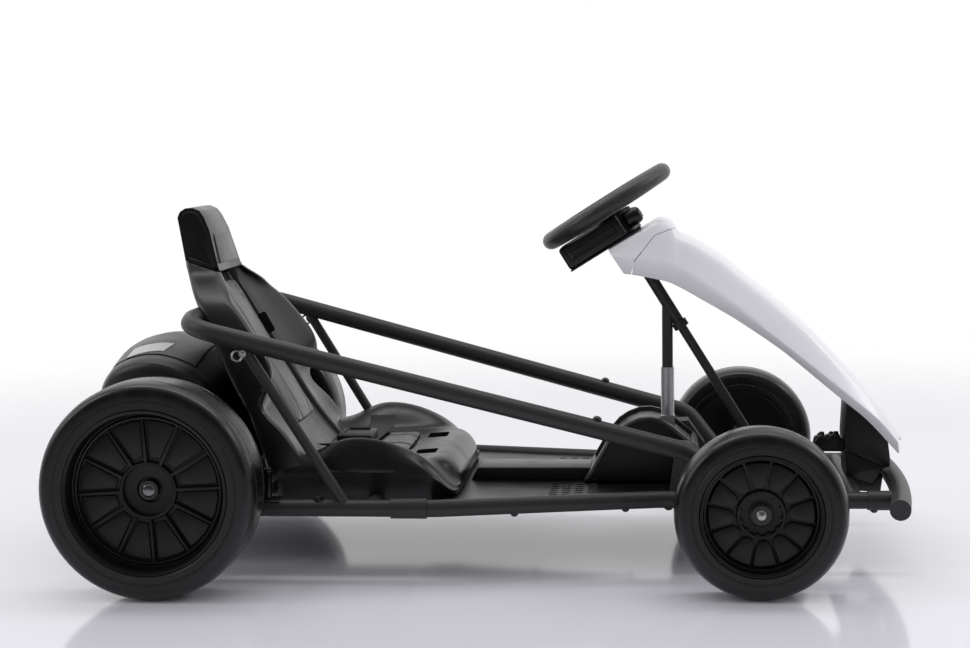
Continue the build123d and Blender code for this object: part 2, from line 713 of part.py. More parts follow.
# Control box under the steering wheel
box_top_at = 14.0
box_base_at = 47.0
box_half = 35.0
box_reach = 81.0
box_round_r = 25.0
box_depth = box_base_at - box_top_at
box_plane = Plane(origin=on_column(box_top_at), x_dir=across_dir, z_dir=column_dir)
control_box = box_plane * (Pos(-box_reach / 2, 0, box_depth / 2) * Box(box_reach, box_half * 2, box_depth))
control_box += column_bar(box_top_at, box_base_at, box_round_r)
control_box -= column_bar(0, 100, shaft_r + 1)

# Seat shell: a base lofted along X and a back lofted upwards, cut off at the headrest's part line
# columns: x, lower z, fold z, bolster top z, cushion z, outer half, bolster half, inner half width
base_sections = [
    (-296.0, 84.0, 122.0, 150.0, 142.0, 158.0, 147.0, 106.0),
    (-234.0, 84.0, 126.0, 146.0, 132.0, 166.0, 151.0, 106.0),
    (-214.0, 84.0, 127.0, 156.0, 132.0, 168.0, 152.0, 106.0),
    (-194.0, 84.0, 127.0, 166.0, 132.0, 168.0, 152.0, 106.0),
    (-172.0, 84.0, 127.0, 169.0, 132.0, 168.0, 152.0, 107.0),
    (-142.0, 84.0, 127.0, 165.0, 133.0, 168.0, 151.0, 109.0),
    (-114.0, 84.0, 127.0, 155.0, 135.0, 167.0, 149.0, 112.0),
    (-90.0, 84.0, 126.0, 142.0, 137.0, 165.0, 147.0, 114.0),
    (-73.0, 85.0, 117.0, 125.0, 137.0, 161.0, 144.0, 112.0),
    (-61.0, 90.0, 105.0, 109.0, 133.0, 155.0, 139.0, 107.0),
    (-50.0, 97.0, 101.0, 103.0, 119.0, 144.0, 126.0, 98.0),
]


def base_section(x, low, fold, crest, cushion, wide, top, inner):
    """One section of the seat's base across the kart."""
    half = [(x, -(wide - 12), low), (x, -wide, fold), (x, -top, crest), (x, -inner, cushion)]
    return make_face(Polyline(*half, *[(x, -y, z) for x, y, z in reversed(half)], close=True))


def base_inside(x, low, fold, crest, cushion, wide, top, inner):
    """The hollow under one section of the seat's base, open downwards."""
    half = [(x, -(wide - 12 - seat_wall), low - 9), (x, -(wide - seat_wall), fold - 3),
            (x, -(top - 2), crest - 11), (x, -(inner + 1), cushion - 8)]
    return make_face(Polyline(*half, *[(x, -y, z) for x, y, z in reversed(half)], close=True))


def back_line(z):
    """X of the back's front surface behind its pad."""
    return -340.0 + seat_recline * (306.0 - z) - pad_thickness * math.sqrt(1 + seat_recline ** 2)


# columns: z, rear x, wing x, outer half width, inner half width
back_sections = [
    (96.0, -288.0, -232.0, 152.0, 78.0),
    (146.0, -300.0, -243.0, 163.0, 77.0),
    (178.0, -311.0, -264.0, 162.0, 75.0),
    (205.0, -321.0, -292.0, 159.0, 72.0),
    (238.0, -342.0, -276.0, 158.0, 69.0),
    (262.0, -354.0, -279.0, 157.0, 67.0),
    (298.0, -371.0, -302.5, 147.0, 64.0),
    (325.0, -385.0, -323.0, 122.0, 62.0),
    (348.0, -399.0, -341.0, 90.0, 59.0),
    (369.0, -413.0, -362.0, 64.0, 56.0),
    (395.0, -421.0, -381.0, 60.0, 52.0),
]


def back_section(z, rear, wing, outer, inner):
    """One level section of the seat's back."""
    hollow = back_line(z)
    points = [(rear, -outer * 0.6, z), (rear + 12, -outer, z), (wing, -outer, z), (wing, -outer + 12, z),
              (hollow, -inner, z), (hollow, inner, z), (wing, outer - 12, z), (wing, outer, z),
              (rear + 12, outer, z), (rear, outer * 0.6, z)]
    return make_face(Polyline(*points, close=True))


seat_base = loft([base_section(*row) for row in base_sections], ruled=True)
seat_base -= loft([base_inside(*row) for row in base_sections[1:9]], ruled=True)
seat_back = loft([back_section(*row) for row in back_sections], ruled=True)
part_line = [(-440, 393), (-408, 383), (-363, 369), (-330, 358.7)]
above = slab(part_line + [(-330, 460), (-440, 460)], -200, 200)
seat_shell = (seat_base + seat_back) - above - seat_groove
for tube in cross_tubes:
    seat_shell -= tube
seat_shell = seat_shell.solids().sort_by(SortBy.VOLUME)[-1]

# Headrest: a side outline, narrower towards its top
headrest_side = [(-408, 383), (-420, 438.7), (-414, 448), (-400, 451), (-389, 446), (-377, 423), (-363, 369)]
headrest_front = [(-headrest_half, 355), (-headrest_half, 372), (-headrest_top_half, 452),
                  (headrest_top_half, 452), (headrest_half, 372), (headrest_half, 355)]
headrest = slab(headrest_side, -headrest_half, headrest_half) & front_view(headrest_front, -430, -350)


def pad_on_back(z0, z1, half, thickness):
    """A pad that lies on the back's front surface between two heights."""
    x0 = back_line(z0)
    x1 = back_line(z1)
    lift = thickness / math.sqrt(1 + seat_recline ** 2)
    side = [(x0, z0), (x1, z1), (x1 + lift, z1 + lift * seat_recline), (x0 + lift, z0 + lift * seat_recline)]
    return slab(side, -half, half)


back_pad = pad_on_back(166, 355, back_pad_half, pad_thickness)
cushion_side = [(-212, 132.3), (-172, 132.3), (-142, 133.3), (-114, 135.3), (-98, 136.7),
                (-98, 143), (-114, 142.4), (-142, 141.2), (-212, 140)]
cushion_pad = slab(cushion_side, -cushion_pad_half, cushion_pad_half)

# Lap belt across the cushion, with its buckle
belt_rear_x = -216.0
belt_width = 36.0
belt_thickness = 2.0
belt_low_z = 141.0
belt_line = [(-116, 149), (-84, belt_low_z), (84, belt_low_z), (116, 149)]
belt_points = [(belt_rear_x, y, z) for y, z in belt_line]
belt_points += [(belt_rear_x, y, z + belt_thickness) for y, z in reversed(belt_line)]
lap_belt = extrude(make_face(Polyline(*belt_points, close=True)), belt_width, dir=(1, 0, 0))
buckle_low = belt_low_z + belt_thickness
buckle = block(belt_rear_x - 1, belt_rear_x + belt_width + 1, -52, 6, buckle_low, buckle_low + 10)

# Rear cover over the battery
cover_side = [(-520, 223), (-512, 244), (-500, 263), (-481, 275), (-438, 285.5), (-398, 275), (-374, 240),
              (-336, 190), (-304, 140), (-304, cover_bottom_z), (-505, cover_bottom_z)]
cover_plan = [(-304, cover_half), (-400, cover_half), (-468, 128), (-506, 108), (-521, 94)]
cover_plan += [(x, -y) for x, y in reversed(cover_plan)]
rear_cover = slab(cover_side, -cover_half, cover_half) & level(cover_plan, 50, 320)
inner_side = offset(make_face(Polyline(*[(x, 0, z) for x, z in cover_side], close=True)), -cover_wall)
inner_plan = offset(make_face(Polyline(*[(x, y, 50) for x, y in cover_plan], close=True)), -cover_wall)
cavity = extrude(inner_side, cover_half, dir=(0, 1, 0), both=True) & extrude(inner_plan, 260, dir=(0, 0, 1))
rear_cover -= cavity
rear_cover -= rod((rear_axle_x, -200, rear_wheel_r), (rear_axle_x, 200, rear_wheel_r), rear_axle_r + 5)
battery_low = cover_bottom_z + cover_wall
battery_high = battery_low + battery_height
battery = block(battery_rear_x, battery_front_x, -battery_half, battery_half, battery_low, battery_high)
hook_side = [(-521.5, 200), (-521.5, 213), (-526, 219), (-526, 228), (-522.5, 228), (-522.5, 220.5),
             (-517, 214), (-514.5, 214), (-514.5, 200)]
rear_hook = slab(hook_side, -12, 12) - rear_cover - cavity
rear_hook = rear_hook.solids().sort_by(SortBy.VOLUME)[-1]

# Gearboxes beside the rear wheels, on the rails
gearbox_out = rear_wheel_y - rear_wheel_width / 2 - gearbox_gap
gearbox = block(rear_axle_x - gearbox_rear, rear_axle_x + gearbox_front, rail_rear_y - gearbox_in,
                gearbox_out, rail_z + rail_r, rear_wheel_r + gearbox_rise)
gearbox -= rod((rear_axle_x, 100, rear_wheel_r), (rear_axle_x, 260, rear_wheel_r), rear_axle_r)

# Pedals on the floor pan, hollow below
pedal_top = pan_top_z + pedal_rise
pedal_side = ahead([(-103.5, pan_top_z), (-95.5, pedal_top - 1), (-77.5, pedal_top),
                    (-55.5, pedal_top - 32), (-55.5, pan_top_z)])
pedal_hollow = ahead([(-100, pan_top_z - 1), (-92.5, pedal_top - 4), (-79, pedal_top - 3.5),
                      (-58.5, pedal_top - 33), (-58.5, pan_top_z - 1)])
pedal = slab(pedal_side, pedal_near_y, pedal_far_y)
pedal -= slab(pedal_hollow, pedal_near_y + pedal_wall, pedal_far_y - pedal_wall)

for name, side in sides:
    place = (lambda shape: shape) if side > 0 else flip
    save("rail_" + name, place(rail))
    save("upper_tube_" + name, place(upper_tube))
    save("knuckle_" + name, place(knuckle))
    save("tie_rod_" + name, tie_rods[name])

save("rail_sleeves", Compound([sleeve, flip(sleeve)]))
save("struts", Compound([strut, flip(strut)]))
save("hoop_back", hoop_back)
save("bumper", bumper)
save("bumper_caps", Compound([cap, flip(cap)]))
save("bumper_sockets", Compound([socket, flip(socket)]))
save("cross_tubes", Compound(cross_tubes))
save("front_axle_beam", front_axle_beam - rail_solid)
save("rear_axle", rear_axle)
save("gearboxes", Compound([gearbox, flip(gearbox)]))
save("battery", battery)
save("floor_pan", floor_pan)
save("front_console", front_console)
save("column_pod", column_pod)
save("nose_panel", nose_panel)
save("front_cowl", front_cowl)
save("control_box", control_box)
save("column_tube", column_tube)
save("column_post", post)
save("post_sleeve", post_sleeve)
save("steering_wheel", steering_wheel)
save("steering_shaft", steering_shaft)
save("seat_shell", seat_shell)
save("headrest", headrest)
save("back_pad", back_pad)
save("cushion_pad", cushion_pad)
save("lap_belt", lap_belt)
save("belt_buckle", buckle)
save("rear_cover", rear_cover)
save("rear_hook", rear_hook)
save("pedals", Compound([pedal, flip(pedal)]))
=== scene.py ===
import json
import math
import bpy
from mathutils import Matrix, Vector


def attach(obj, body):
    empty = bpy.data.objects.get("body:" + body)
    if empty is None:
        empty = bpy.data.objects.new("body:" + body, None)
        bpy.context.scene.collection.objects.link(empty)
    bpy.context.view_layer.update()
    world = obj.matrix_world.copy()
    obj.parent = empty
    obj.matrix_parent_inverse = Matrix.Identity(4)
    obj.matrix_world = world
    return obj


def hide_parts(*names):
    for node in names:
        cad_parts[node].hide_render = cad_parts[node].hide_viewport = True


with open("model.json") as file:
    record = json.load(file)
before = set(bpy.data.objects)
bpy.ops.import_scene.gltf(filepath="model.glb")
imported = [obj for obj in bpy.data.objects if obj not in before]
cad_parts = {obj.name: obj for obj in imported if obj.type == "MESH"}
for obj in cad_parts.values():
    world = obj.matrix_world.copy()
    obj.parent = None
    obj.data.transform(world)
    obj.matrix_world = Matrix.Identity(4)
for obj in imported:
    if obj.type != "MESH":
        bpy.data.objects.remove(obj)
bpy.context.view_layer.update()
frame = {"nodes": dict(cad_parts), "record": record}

# Places shared with the CAD source, in millimetres
REAR_AXLE = (-396.5, 130.0)
FRONT_AXLE = (317.5, 100.5)
REAR_WHEEL_Y = 287.0
FRONT_WHEEL_Y = 270.0
KINGPIN_Y = 214.0
STEER_TILT = math.radians(31.6)
WHEEL_CENTRE = Vector((134, 0, 445.5))
COLUMN_DOWN = Vector((math.sin(STEER_TILT), 0, -math.cos(STEER_TILT)))
ACROSS = Vector((math.cos(STEER_TILT), 0, math.sin(STEER_TILT)))
SPOKES = 12

# Points closer than this, in metres, are merged
MERGE_GAP = 0.00001


def mm(point):
    """A point in millimetres as Blender's metres."""
    return Vector(point) / 1000


def mirrored(half):
    """A half section from left underside to the middle, completed to the right side."""
    return half + [(x, -y, z) for x, y, z in reversed(half) if abs(y) > 1e-6]


# Hand modelling

def only(*pieces):
    bpy.ops.object.select_all(action="DESELECT")
    for piece in pieces:
        piece.select_set(True)
    bpy.context.view_layer.objects.active = pieces[0]


def edit_faces(piece, test=None):
    """Enter edit mode with the faces selected whose centre and normal pass the test, or all."""
    only(piece)
    bpy.ops.object.mode_set(mode="EDIT")
    bpy.ops.mesh.select_mode(type="FACE")
    bpy.ops.mesh.select_all(action="SELECT" if test is None else "DESELECT")
    if test is not None:
        bpy.ops.object.mode_set(mode="OBJECT")
        for face in piece.data.polygons:
            face.select = bool(test(face.center * 1000, face.normal))
        bpy.ops.object.mode_set(mode="EDIT")


def leave():
    bpy.ops.object.mode_set(mode="OBJECT")


def tidy_mesh(piece):
    """Merge doubles and point every face outwards."""
    edit_faces(piece)
    bpy.ops.mesh.remove_doubles(threshold=MERGE_GAP)
    bpy.ops.mesh.normals_make_consistent(inside=False)
    leave()
    return piece


def change(piece, kind, **settings):
    """Add a modifier with its settings and apply it."""
    only(piece)
    modifier = piece.modifiers.new(kind.lower(), kind)
    for key, value in settings.items():
        setattr(modifier, key, value)
    bpy.ops.object.modifier_apply(modifier=modifier.name)
    return piece


def soften(piece, width, segments=2, angle=28):
    """Round the edges sharper than an angle; the width is in millimetres."""
    return change(piece, "BEVEL", width=width / 1000, segments=segments, limit_method="ANGLE",
                  angle_limit=math.radians(angle), use_clamp_overlap=True)


def smooth(piece, levels=2):
    return change(piece, "SUBSURF", levels=levels, render_levels=levels)


def wall(piece, thickness):
    """Give an open surface a wall inwards."""
    return change(piece, "SOLIDIFY", thickness=thickness / 1000, offset=-1, use_even_offset=True)


def cut(piece, tool, operation="DIFFERENCE"):
    """Cut a piece by a tool or keep what both share; the tool is then removed."""
    change(piece, "BOOLEAN", operation=operation, object=tool, solver="EXACT")
    bpy.data.objects.remove(tool)
    return piece


def trimmed(piece, place, way):
    """Cut off what lies beyond a plane, on the side that the way points to, and close the cut."""
    edit_faces(piece)
    bpy.ops.mesh.bisect(plane_co=mm(place), plane_no=way, use_fill=True, clear_outer=True)
    leave()
    return piece


def inset(*steps):
    """Inset the selected faces by steps of width and depth in metres, and leave edit mode."""
    for width, depth in steps:
        bpy.ops.mesh.inset(thickness=width, depth=depth)
    leave()


def placed(piece, place):
    """Move a piece to its place and leave its object at the origin."""
    only(piece)
    piece.matrix_world = place
    bpy.ops.object.transform_apply(location=True, rotation=True, scale=True)
    return piece


def joined(first, *others):
    only(first, *others)
    bpy.ops.object.join()
    return first


def copied(piece):
    twin = piece.copy()
    twin.data = piece.data.copy()
    bpy.context.scene.collection.objects.link(twin)
    return twin


def other_side(piece):
    """A copy on the kart's other side, its faces turned outwards again."""
    twin = placed(copied(piece), Matrix.Scale(-1, 4, (0, 1, 0)))
    edit_faces(twin)
    bpy.ops.mesh.flip_normals()
    leave()
    return twin


def both_sides(piece):
    return joined(piece, other_side(piece))


def outline(points):
    """A flat face from a circle primitive whose points are moved to an outline."""
    bpy.ops.mesh.primitive_circle_add(vertices=len(points), radius=0.1, fill_type="NGON")
    piece = bpy.context.object
    for vertex, point in zip(piece.data.vertices, points):
        vertex.co = mm(point)
    return piece


def thick(points, way, bevel=0.0, segments=2, angle=28):
    """An outline extruded along a way, with its edges rounded."""
    piece = outline(points)
    edit_faces(piece)
    bpy.ops.mesh.extrude_region_move(TRANSFORM_OT_translate={"value": mm(way)})
    leave()
    tidy_mesh(piece)
    return soften(piece, bevel, segments, angle) if bevel else piece


def side_plate(points, y0, y1, bevel=0.0, segments=2, angle=28):
    """A side outline in X and Z carried from y0 to y1."""
    return thick([(x, y0, z) for x, z in points], (0, y1 - y0, 0), bevel, segments, angle)


def floor_plate(points, z0, z1, bevel=0.0, segments=2, angle=28):
    """A plan outline in X and Y carried from z0 to z1."""
    return thick([(x, y, z0) for x, y in points], (0, 0, z1 - z0), bevel, segments, angle)


def brick(x0, x1, y0, y1, z0, z1, bevel=1.0, segments=2):
    return floor_plate([(x0, y0), (x1, y0), (x1, y1), (x0, y1)], z0, z1, bevel, segments)


def skin(rows, closed=False, caps=False):
    """A surface through rows of points, from a grid primitive whose points are moved to the rows."""
    full = [list(row) + (list(row[:1]) if closed else []) for row in rows]
    bpy.ops.mesh.primitive_grid_add(x_subdivisions=len(full[0]) - 1, y_subdivisions=len(full) - 1, size=0.1)
    piece = bpy.context.object
    for vertex, point in zip(piece.data.vertices, [point for row in full for point in row]):
        vertex.co = mm(point)
    if closed:
        tidy_mesh(piece)
    if caps:
        edit_faces(piece)
        bpy.ops.mesh.select_mode(type="EDGE")
        bpy.ops.mesh.select_all(action="DESELECT")
        bpy.ops.mesh.select_non_manifold()
        bpy.ops.mesh.fill_holes(sides=0)
        leave()
    return tidy_mesh(piece)


def line_on_both_sides(points):
    """A line's points and their mirror on the kart's other side."""
    line = [Vector(point) for point in points]
    return line + [Vector((spot.x, -spot.y, spot.z)) for spot in line]


def near_line(line, reach, *ends):
    """Whether each end of an edge lies within reach of one of the line's points."""
    return all(any((end - spot).length < reach for spot in line) for end in ends)


def faces_up(piece):
    """Point the faces of an open shell outwards, which is upwards at its highest face."""
    edit_faces(piece)
    bpy.ops.mesh.normals_make_consistent(inside=False)
    leave()
    if max(piece.data.polygons, key=lambda f: f.center.z).normal.z < 0:
        edit_faces(piece)
        bpy.ops.mesh.flip_normals()
        leave()
    return piece


def crease(piece, test, value):
    """Crease the edges whose two ends both pass the test."""
    layers = piece.data.attributes
    layer = layers.get("crease_edge") or layers.new("crease_edge", "FLOAT", "EDGE")
    for edge in piece.data.edges:
        ends = [piece.data.vertices[i].co * 1000 for i in edge.vertices]
        if test(*ends):
            layer.data[edge.index].value = value
    return piece


def turned(profile, place, steps=64):
    """A closed profile of radius and height spun about its own Z axis, then moved to its place."""
    piece = outline([(radius, 0, height) for radius, height in profile])
    edit_faces(piece)
    bpy.ops.mesh.delete(type="ONLY_FACE")
    bpy.ops.mesh.select_all(action="SELECT")
    bpy.ops.mesh.spin(steps=steps, angle=math.tau, center=(0, 0, 0), axis=(0, 0, 1))
    bpy.ops.mesh.remove_doubles(threshold=MERGE_GAP)
    bpy.ops.mesh.dissolve_degenerate(threshold=0.000001)
    bpy.ops.mesh.normals_make_consistent(inside=False)
    leave()
    return placed(piece, place)


def repeated(piece, count):
    """Copies of a piece turned round its own Z axis."""
    edit_faces(piece)
    bpy.ops.mesh.spin(steps=count - 1, dupli=True, angle=math.tau * (count - 1) / count, center=(0, 0, 0),
                      axis=(0, 0, 1))
    leave()
    return piece


def wire(points, radius, sides=4):
    """A bent round wire or tube through points."""
    bpy.ops.curve.primitive_nurbs_path_add()
    curve = bpy.context.object
    spline = curve.data.splines[0]
    spline.points.add(len(points) - len(spline.points))
    for knot, point in zip(spline.points, points):
        knot.co = (*mm(point), 1)
    spline.order_u = 3
    spline.use_endpoint_u = True
    curve.data.bevel_depth = radius / 1000
    curve.data.bevel_resolution = sides
    curve.data.use_fill_caps = True
    only(curve)
    bpy.ops.object.convert(target="MESH")
    return bpy.context.object


def steer_place(down=0.0, across=0.0, aside=0.0):
    """A place on the steering column: local Z runs down the column, local X across and up."""
    turn = Matrix((ACROSS, Vector((0, -1, 0)), COLUMN_DOWN)).transposed().to_4x4()
    return Matrix.Translation(mm(WHEEL_CENTRE + COLUMN_DOWN * down + ACROSS * across + Vector((0, aside,
                                                                                               0)))) @ turn


def wheel_place(x, y, z, side):
    """A wheel's place: local Z points outwards and local X forward."""
    return Matrix.Translation(mm((x, y * side, z))) @ Matrix.Rotation(-side * math.pi / 2, 4, "X")


def upright(x, y, z):
    return Matrix.Translation(mm((x, y, z)))


def along(start, end):
    """A place at start whose local Z points at end."""
    way = Vector(end) - Vector(start)
    return Matrix.Translation(mm(start)) @ way.to_track_quat("Z", "Y").to_matrix().to_4x4()


def done(piece, name, slot, stands_for=(), sharp=30, body="chassis", material=None):
    """Name and shade a finished piece, give it its material or its slot's, and let it ride on its body."""
    piece.name = name
    piece.data.name = name
    only(piece)
    bpy.ops.object.shade_smooth_by_angle(angle=math.radians(sharp))
    piece.data.materials.clear()
    piece.data.materials.append(material or SLOT_MATERIALS[slot])
    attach(piece, body)
    if stands_for:
        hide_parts(*stands_for)
    return piece


# Materials

def hex_colour(text):
    """An sRGB hex value as linear RGBA."""
    parts = [int(text[i:i + 2], 16) / 255 for i in (1, 3, 5)]
    return tuple(p / 12.92 if p <= 0.04045 else ((p + 0.055) / 1.055) ** 2.4 for p in parts) + (1.0,)


def add_node(tree, kind, links=None, **settings):
    """Add a shader node with its settings; links gives each input a value or another node's output."""
    node = tree.nodes.new("ShaderNode" + kind)
    for key, value in settings.items():
        setattr(node, key, value)
    for key, value in (links or {}).items():
        if isinstance(value, bpy.types.NodeSocket):
            tree.links.new(value, node.inputs[key])
        else:
            node.inputs[key].default_value = value
    return node


def new_material(name):
    material = bpy.data.materials.new(name)
    material.use_nodes = True
    tree = material.node_tree
    tree.nodes.clear()
    shader = add_node(tree, "BsdfPrincipled")
    output = add_node(tree, "OutputMaterial", {"Surface": shader.outputs["BSDF"]})
    return material, tree, shader


def grained(name, dark, light, rough, grain_mm, depth_mm, ior=1.49, cloud_mm=45.0, rough_spread=0.08,
            coat=0.0, metallic=0.0):
    """A surface with a fine grain in its bump and slow clouds in its colour and gloss."""
    material, tree, shader = new_material(name)
    place = add_node(tree, "TexCoord").outputs["Object"]
    grain = add_node(tree, "TexNoise", {"Vector": place, "Scale": 1000 / grain_mm, "Detail": 2.0,
                                        "Roughness": 0.55})
    cloud = add_node(tree, "TexNoise", {"Vector": place, "Scale": 1000 / cloud_mm, "Detail": 4.0,
                                        "Roughness": 0.6})
    spread = {"Value": cloud.outputs["Fac"], "From Min": 0.3, "From Max": 0.7}
    tone = add_node(tree, "MapRange", spread)
    colour = add_node(tree, "Mix", {0: tone.outputs["Result"], 6: hex_colour(dark), 7: hex_colour(light)},
                      data_type="RGBA")
    gloss = add_node(tree, "MapRange", {"Value": cloud.outputs["Fac"], "From Min": 0.3, "From Max": 0.7,
                                        "To Min": rough - rough_spread, "To Max": rough + rough_spread})
    bump = add_node(tree, "Bump", {"Height": grain.outputs["Fac"], "Distance": depth_mm / 1000,
                                   "Strength": 1.0})
    tree.links.new(colour.outputs[2], shader.inputs["Base Color"])
    tree.links.new(gloss.outputs["Result"], shader.inputs["Roughness"])
    tree.links.new(bump.outputs["Normal"], shader.inputs["Normal"])
    if not metallic:
        shader.inputs["IOR"].default_value = ior
    shader.inputs["Metallic"].default_value = metallic
    shader.inputs["Coat Weight"].default_value = coat
    shader.inputs["Coat Roughness"].default_value = 0.12
    return material


# Polyester powder coat on steel tube: satin black with a faint orange peel of about 2 mm.
FRAME_PAINT = grained("satin_black_powder_coat", "#060607", "#0b0b0c", 0.26, 2.2, 0.03, ior=1.5, cloud_mm=60)
# Hard moulded tyre compound: nearly black, its gloss uneven from the mould's release.
TYRE = grained("moulded_black_tyre_compound", "#080809", "#0f0e0f", 0.3, 1.6, 0.03, ior=1.5, cloud_mm=35,
               rough_spread=0.1)
# Injection moulded polypropylene wheel disc: dark, dull and finely spark eroded.
RIM = grained("spark_eroded_black_polypropylene", "#070707", "#0c0b0c", 0.38, 1.2, 0.05, ior=1.44,
              cloud_mm=40)
# Polypropylene body parts with a leather-like mould grain of about 1 mm.
BODY_BLACK = grained("grained_black_polypropylene", "#070708", "#0d0d0e", 0.36, 1.4, 0.07, cloud_mm=55)
# Blow moulded polyethylene seat: softer gloss, waxy, slightly lighter where it stretched.
SEAT = grained("blow_moulded_black_polyethylene", "#0d0d0f", "#151416", 0.3, 1.8, 0.05, ior=1.47, cloud_mm=80)
# Gloss white ABS panels, a little grey, with the faint ripple of a vacuum formed sheet.
WHITE = grained("gloss_white_abs", "#eceaf0", "#efedf3", 0.32, 9.0, 0.02, ior=1.53, cloud_mm=260,
                rough_spread=0.02, coat=0.2)
# Black zinc plated screws and nuts.
SCREW = grained("black_zinc_plated_steel", "#3a3a3c", "#4d4c4e", 0.36, 1.0, 0.01, metallic=1.0, cloud_mm=6)
# Chrome plated hub nuts: a dark mirror that takes one sharp highlight.
CHROME = grained("chrome_plated_steel", "#77777a", "#838386", 0.16, 1.0, 0.005, metallic=1.0, cloud_mm=12,
                 rough_spread=0.03)
# Satin vinyl of the seat's sewn inserts, with a fine pressed grain. Its mid grey is partly the vinyl's own
# dark grey and partly painted sheen: lightened to stand in for the reflection of the bright backdrop it
# catches at a grazing view.
GREY_VINYL_PAINTED_SHEEN = grained("grey_vinyl_painted_sheen", "#48484b", "#565659", 0.34, 1.5, 0.08, cloud_mm=30)
# Thick sewing thread of waxed polyester.
THREAD = grained("waxed_polyester_thread", "#8a8a8c", "#a0a0a2", 0.5, 1.0, 0.1, cloud_mm=10)
# Blank labels of satin silver film.
LABEL = grained("satin_silver_polyester_film", "#b4b4b8", "#c2c2c5", 0.35, 3.0, 0.004, cloud_mm=50)
# Bright zinc plated steel: light grey with a slight blue and fine crystals.
ZINC = grained("bright_zinc_plated_steel", "#a9a7a6", "#c6c4c2", 0.27, 1.3, 0.01, metallic=1.0, cloud_mm=8)
# Soft-touch thermoplastic rubber of the steering wheel: brown-black and matt.
GRIP = grained("soft_touch_brown_black_rubber", "#272425", "#322e2f", 0.4, 1.2, 0.05, cloud_mm=30)
# Polyester webbing, drawn a little coarser than the real 1 mm weave so that it shows.
WEBBING = grained("black_polyester_webbing", "#121213", "#1e1e1f", 0.7, 1.6, 0.25, ior=1.45, cloud_mm=20)
# Battery case of black ABS.
CASE = grained("matt_black_abs", "#0b0b0c", "#111112", 0.5, 1.5, 0.03)

SLOT_MATERIALS = {
    "frame_paint": FRAME_PAINT, "tyre": TYRE, "rim": RIM, "body_black": BODY_BLACK, "body_white": WHITE,
    "seat_plastic": SEAT, "pad": GREY_VINYL_PAINTED_SHEEN, "webbing": WEBBING, "bright_steel": ZINC, "grip": GRIP,
    "battery": CASE,
}
for row in frame["record"]["materials"]:
    for node_name in row.get("nodes", []):
        if node_name in frame["nodes"]:
            mesh = frame["nodes"][node_name].data
            mesh.materials.clear()
            mesh.materials.append(SLOT_MATERIALS[row["slot"]])

# Camera and stage

# The view of the photograph, fitted to the wheels, seat, nose and bumper; millimetres and degrees.
CAMERA_AT = (201.3, -2366.5, 538.7)
CAMERA_YAW, CAMERA_PITCH, CAMERA_ROLL = 5.485, 5.898, -0.818
bpy.ops.object.camera_add(location=mm(CAMERA_AT))
camera = bpy.context.object
camera.rotation_euler = (
    Matrix.Rotation(math.radians(CAMERA_YAW), 4, "Z") @ Matrix.Rotation(math.radians(90 - CAMERA_PITCH), 4,
                                                                        "X")
    @ Matrix.Rotation(math.radians(CAMERA_ROLL), 4, "Z")
).to_euler()
camera.data.lens = 67.65
camera.data.sensor_width = 36.0
bpy.context.scene.camera = camera
bpy.context.scene.view_settings.view_transform = "Standard"


def softbox(at, aim, size, power):
    """A square studio light of a size in metres that points at a place."""
    bpy.ops.object.light_add(type="AREA", location=at)
    lamp = bpy.context.object
    lamp.data.shape = "RECTANGLE"
    lamp.data.size, lamp.data.size_y = size
    lamp.data.energy = power
    lamp.rotation_euler = (Vector(aim) - Vector(at)).to_track_quat("-Z", "Y").to_euler()


# columns: place, aim and size in metres, power in watts
LAMPS = [((0.0, 0.15, 2.2), (0, 0, 0.2), (2.8, 0.4), 13), ((-2.3, -0.7, 1.6), (0, 0, 0.25), (0.7, 1.5), 9),
         ((2.2, 0.0, 1.8), (-0.2, 0, 0.2), (1.5, 0.45), 9)]
for lamp_at, lamp_aim, lamp_size, lamp_power in LAMPS:
    softbox(lamp_at, lamp_aim, lamp_size, lamp_power)

world = bpy.data.worlds.new("studio")
bpy.context.scene.world = world
world.use_nodes = True
sky = world.node_tree
sky.nodes.clear()
way = add_node(sky, "TexCoord").outputs["Generated"]
split = add_node(sky, "SeparateXYZ", {"Vector": way})
# The wall behind the kart is white and the side of the camera is dim, as in the photograph's reflections
behind = add_node(sky, "MapRange", {"Value": split.outputs["Y"], "From Min": -0.7, "From Max": 0.5,
                                    "To Min": 0.09, "To Max": 1.0})
ray = add_node(sky, "LightPath")
glossy = add_node(sky, "Math", {0: ray.outputs["Is Glossy Ray"], 1: behind.outputs["Result"]},
                  operation="MULTIPLY")
seen = add_node(sky, "Math", {0: ray.outputs["Is Camera Ray"], 1: ray.outputs["Is Transmission Ray"]},
                operation="ADD")
seen = add_node(sky, "Math", {0: seen.outputs[0], 1: glossy.outputs[0]}, operation="ADD",
                use_clamp=True)
fill = add_node(sky, "Background", {"Color": (1, 1, 1, 1), "Strength": 0.7})
white = add_node(sky, "Background", {"Color": (1, 1, 1, 1), "Strength": 1.0})
dark = add_node(sky, "Background", {"Color": (1, 1, 1, 1), "Strength": 0.0})
plain = add_node(sky, "MixShader",
                 {0: ray.outputs["Is Glossy Ray"], 1: fill.outputs[0], 2: dark.outputs[0]})
mixed = add_node(sky, "MixShader", {0: seen.outputs[0], 1: plain.outputs[0], 2: white.outputs[0]})
add_node(sky, "OutputWorld", {"Surface": mixed.outputs[0]})

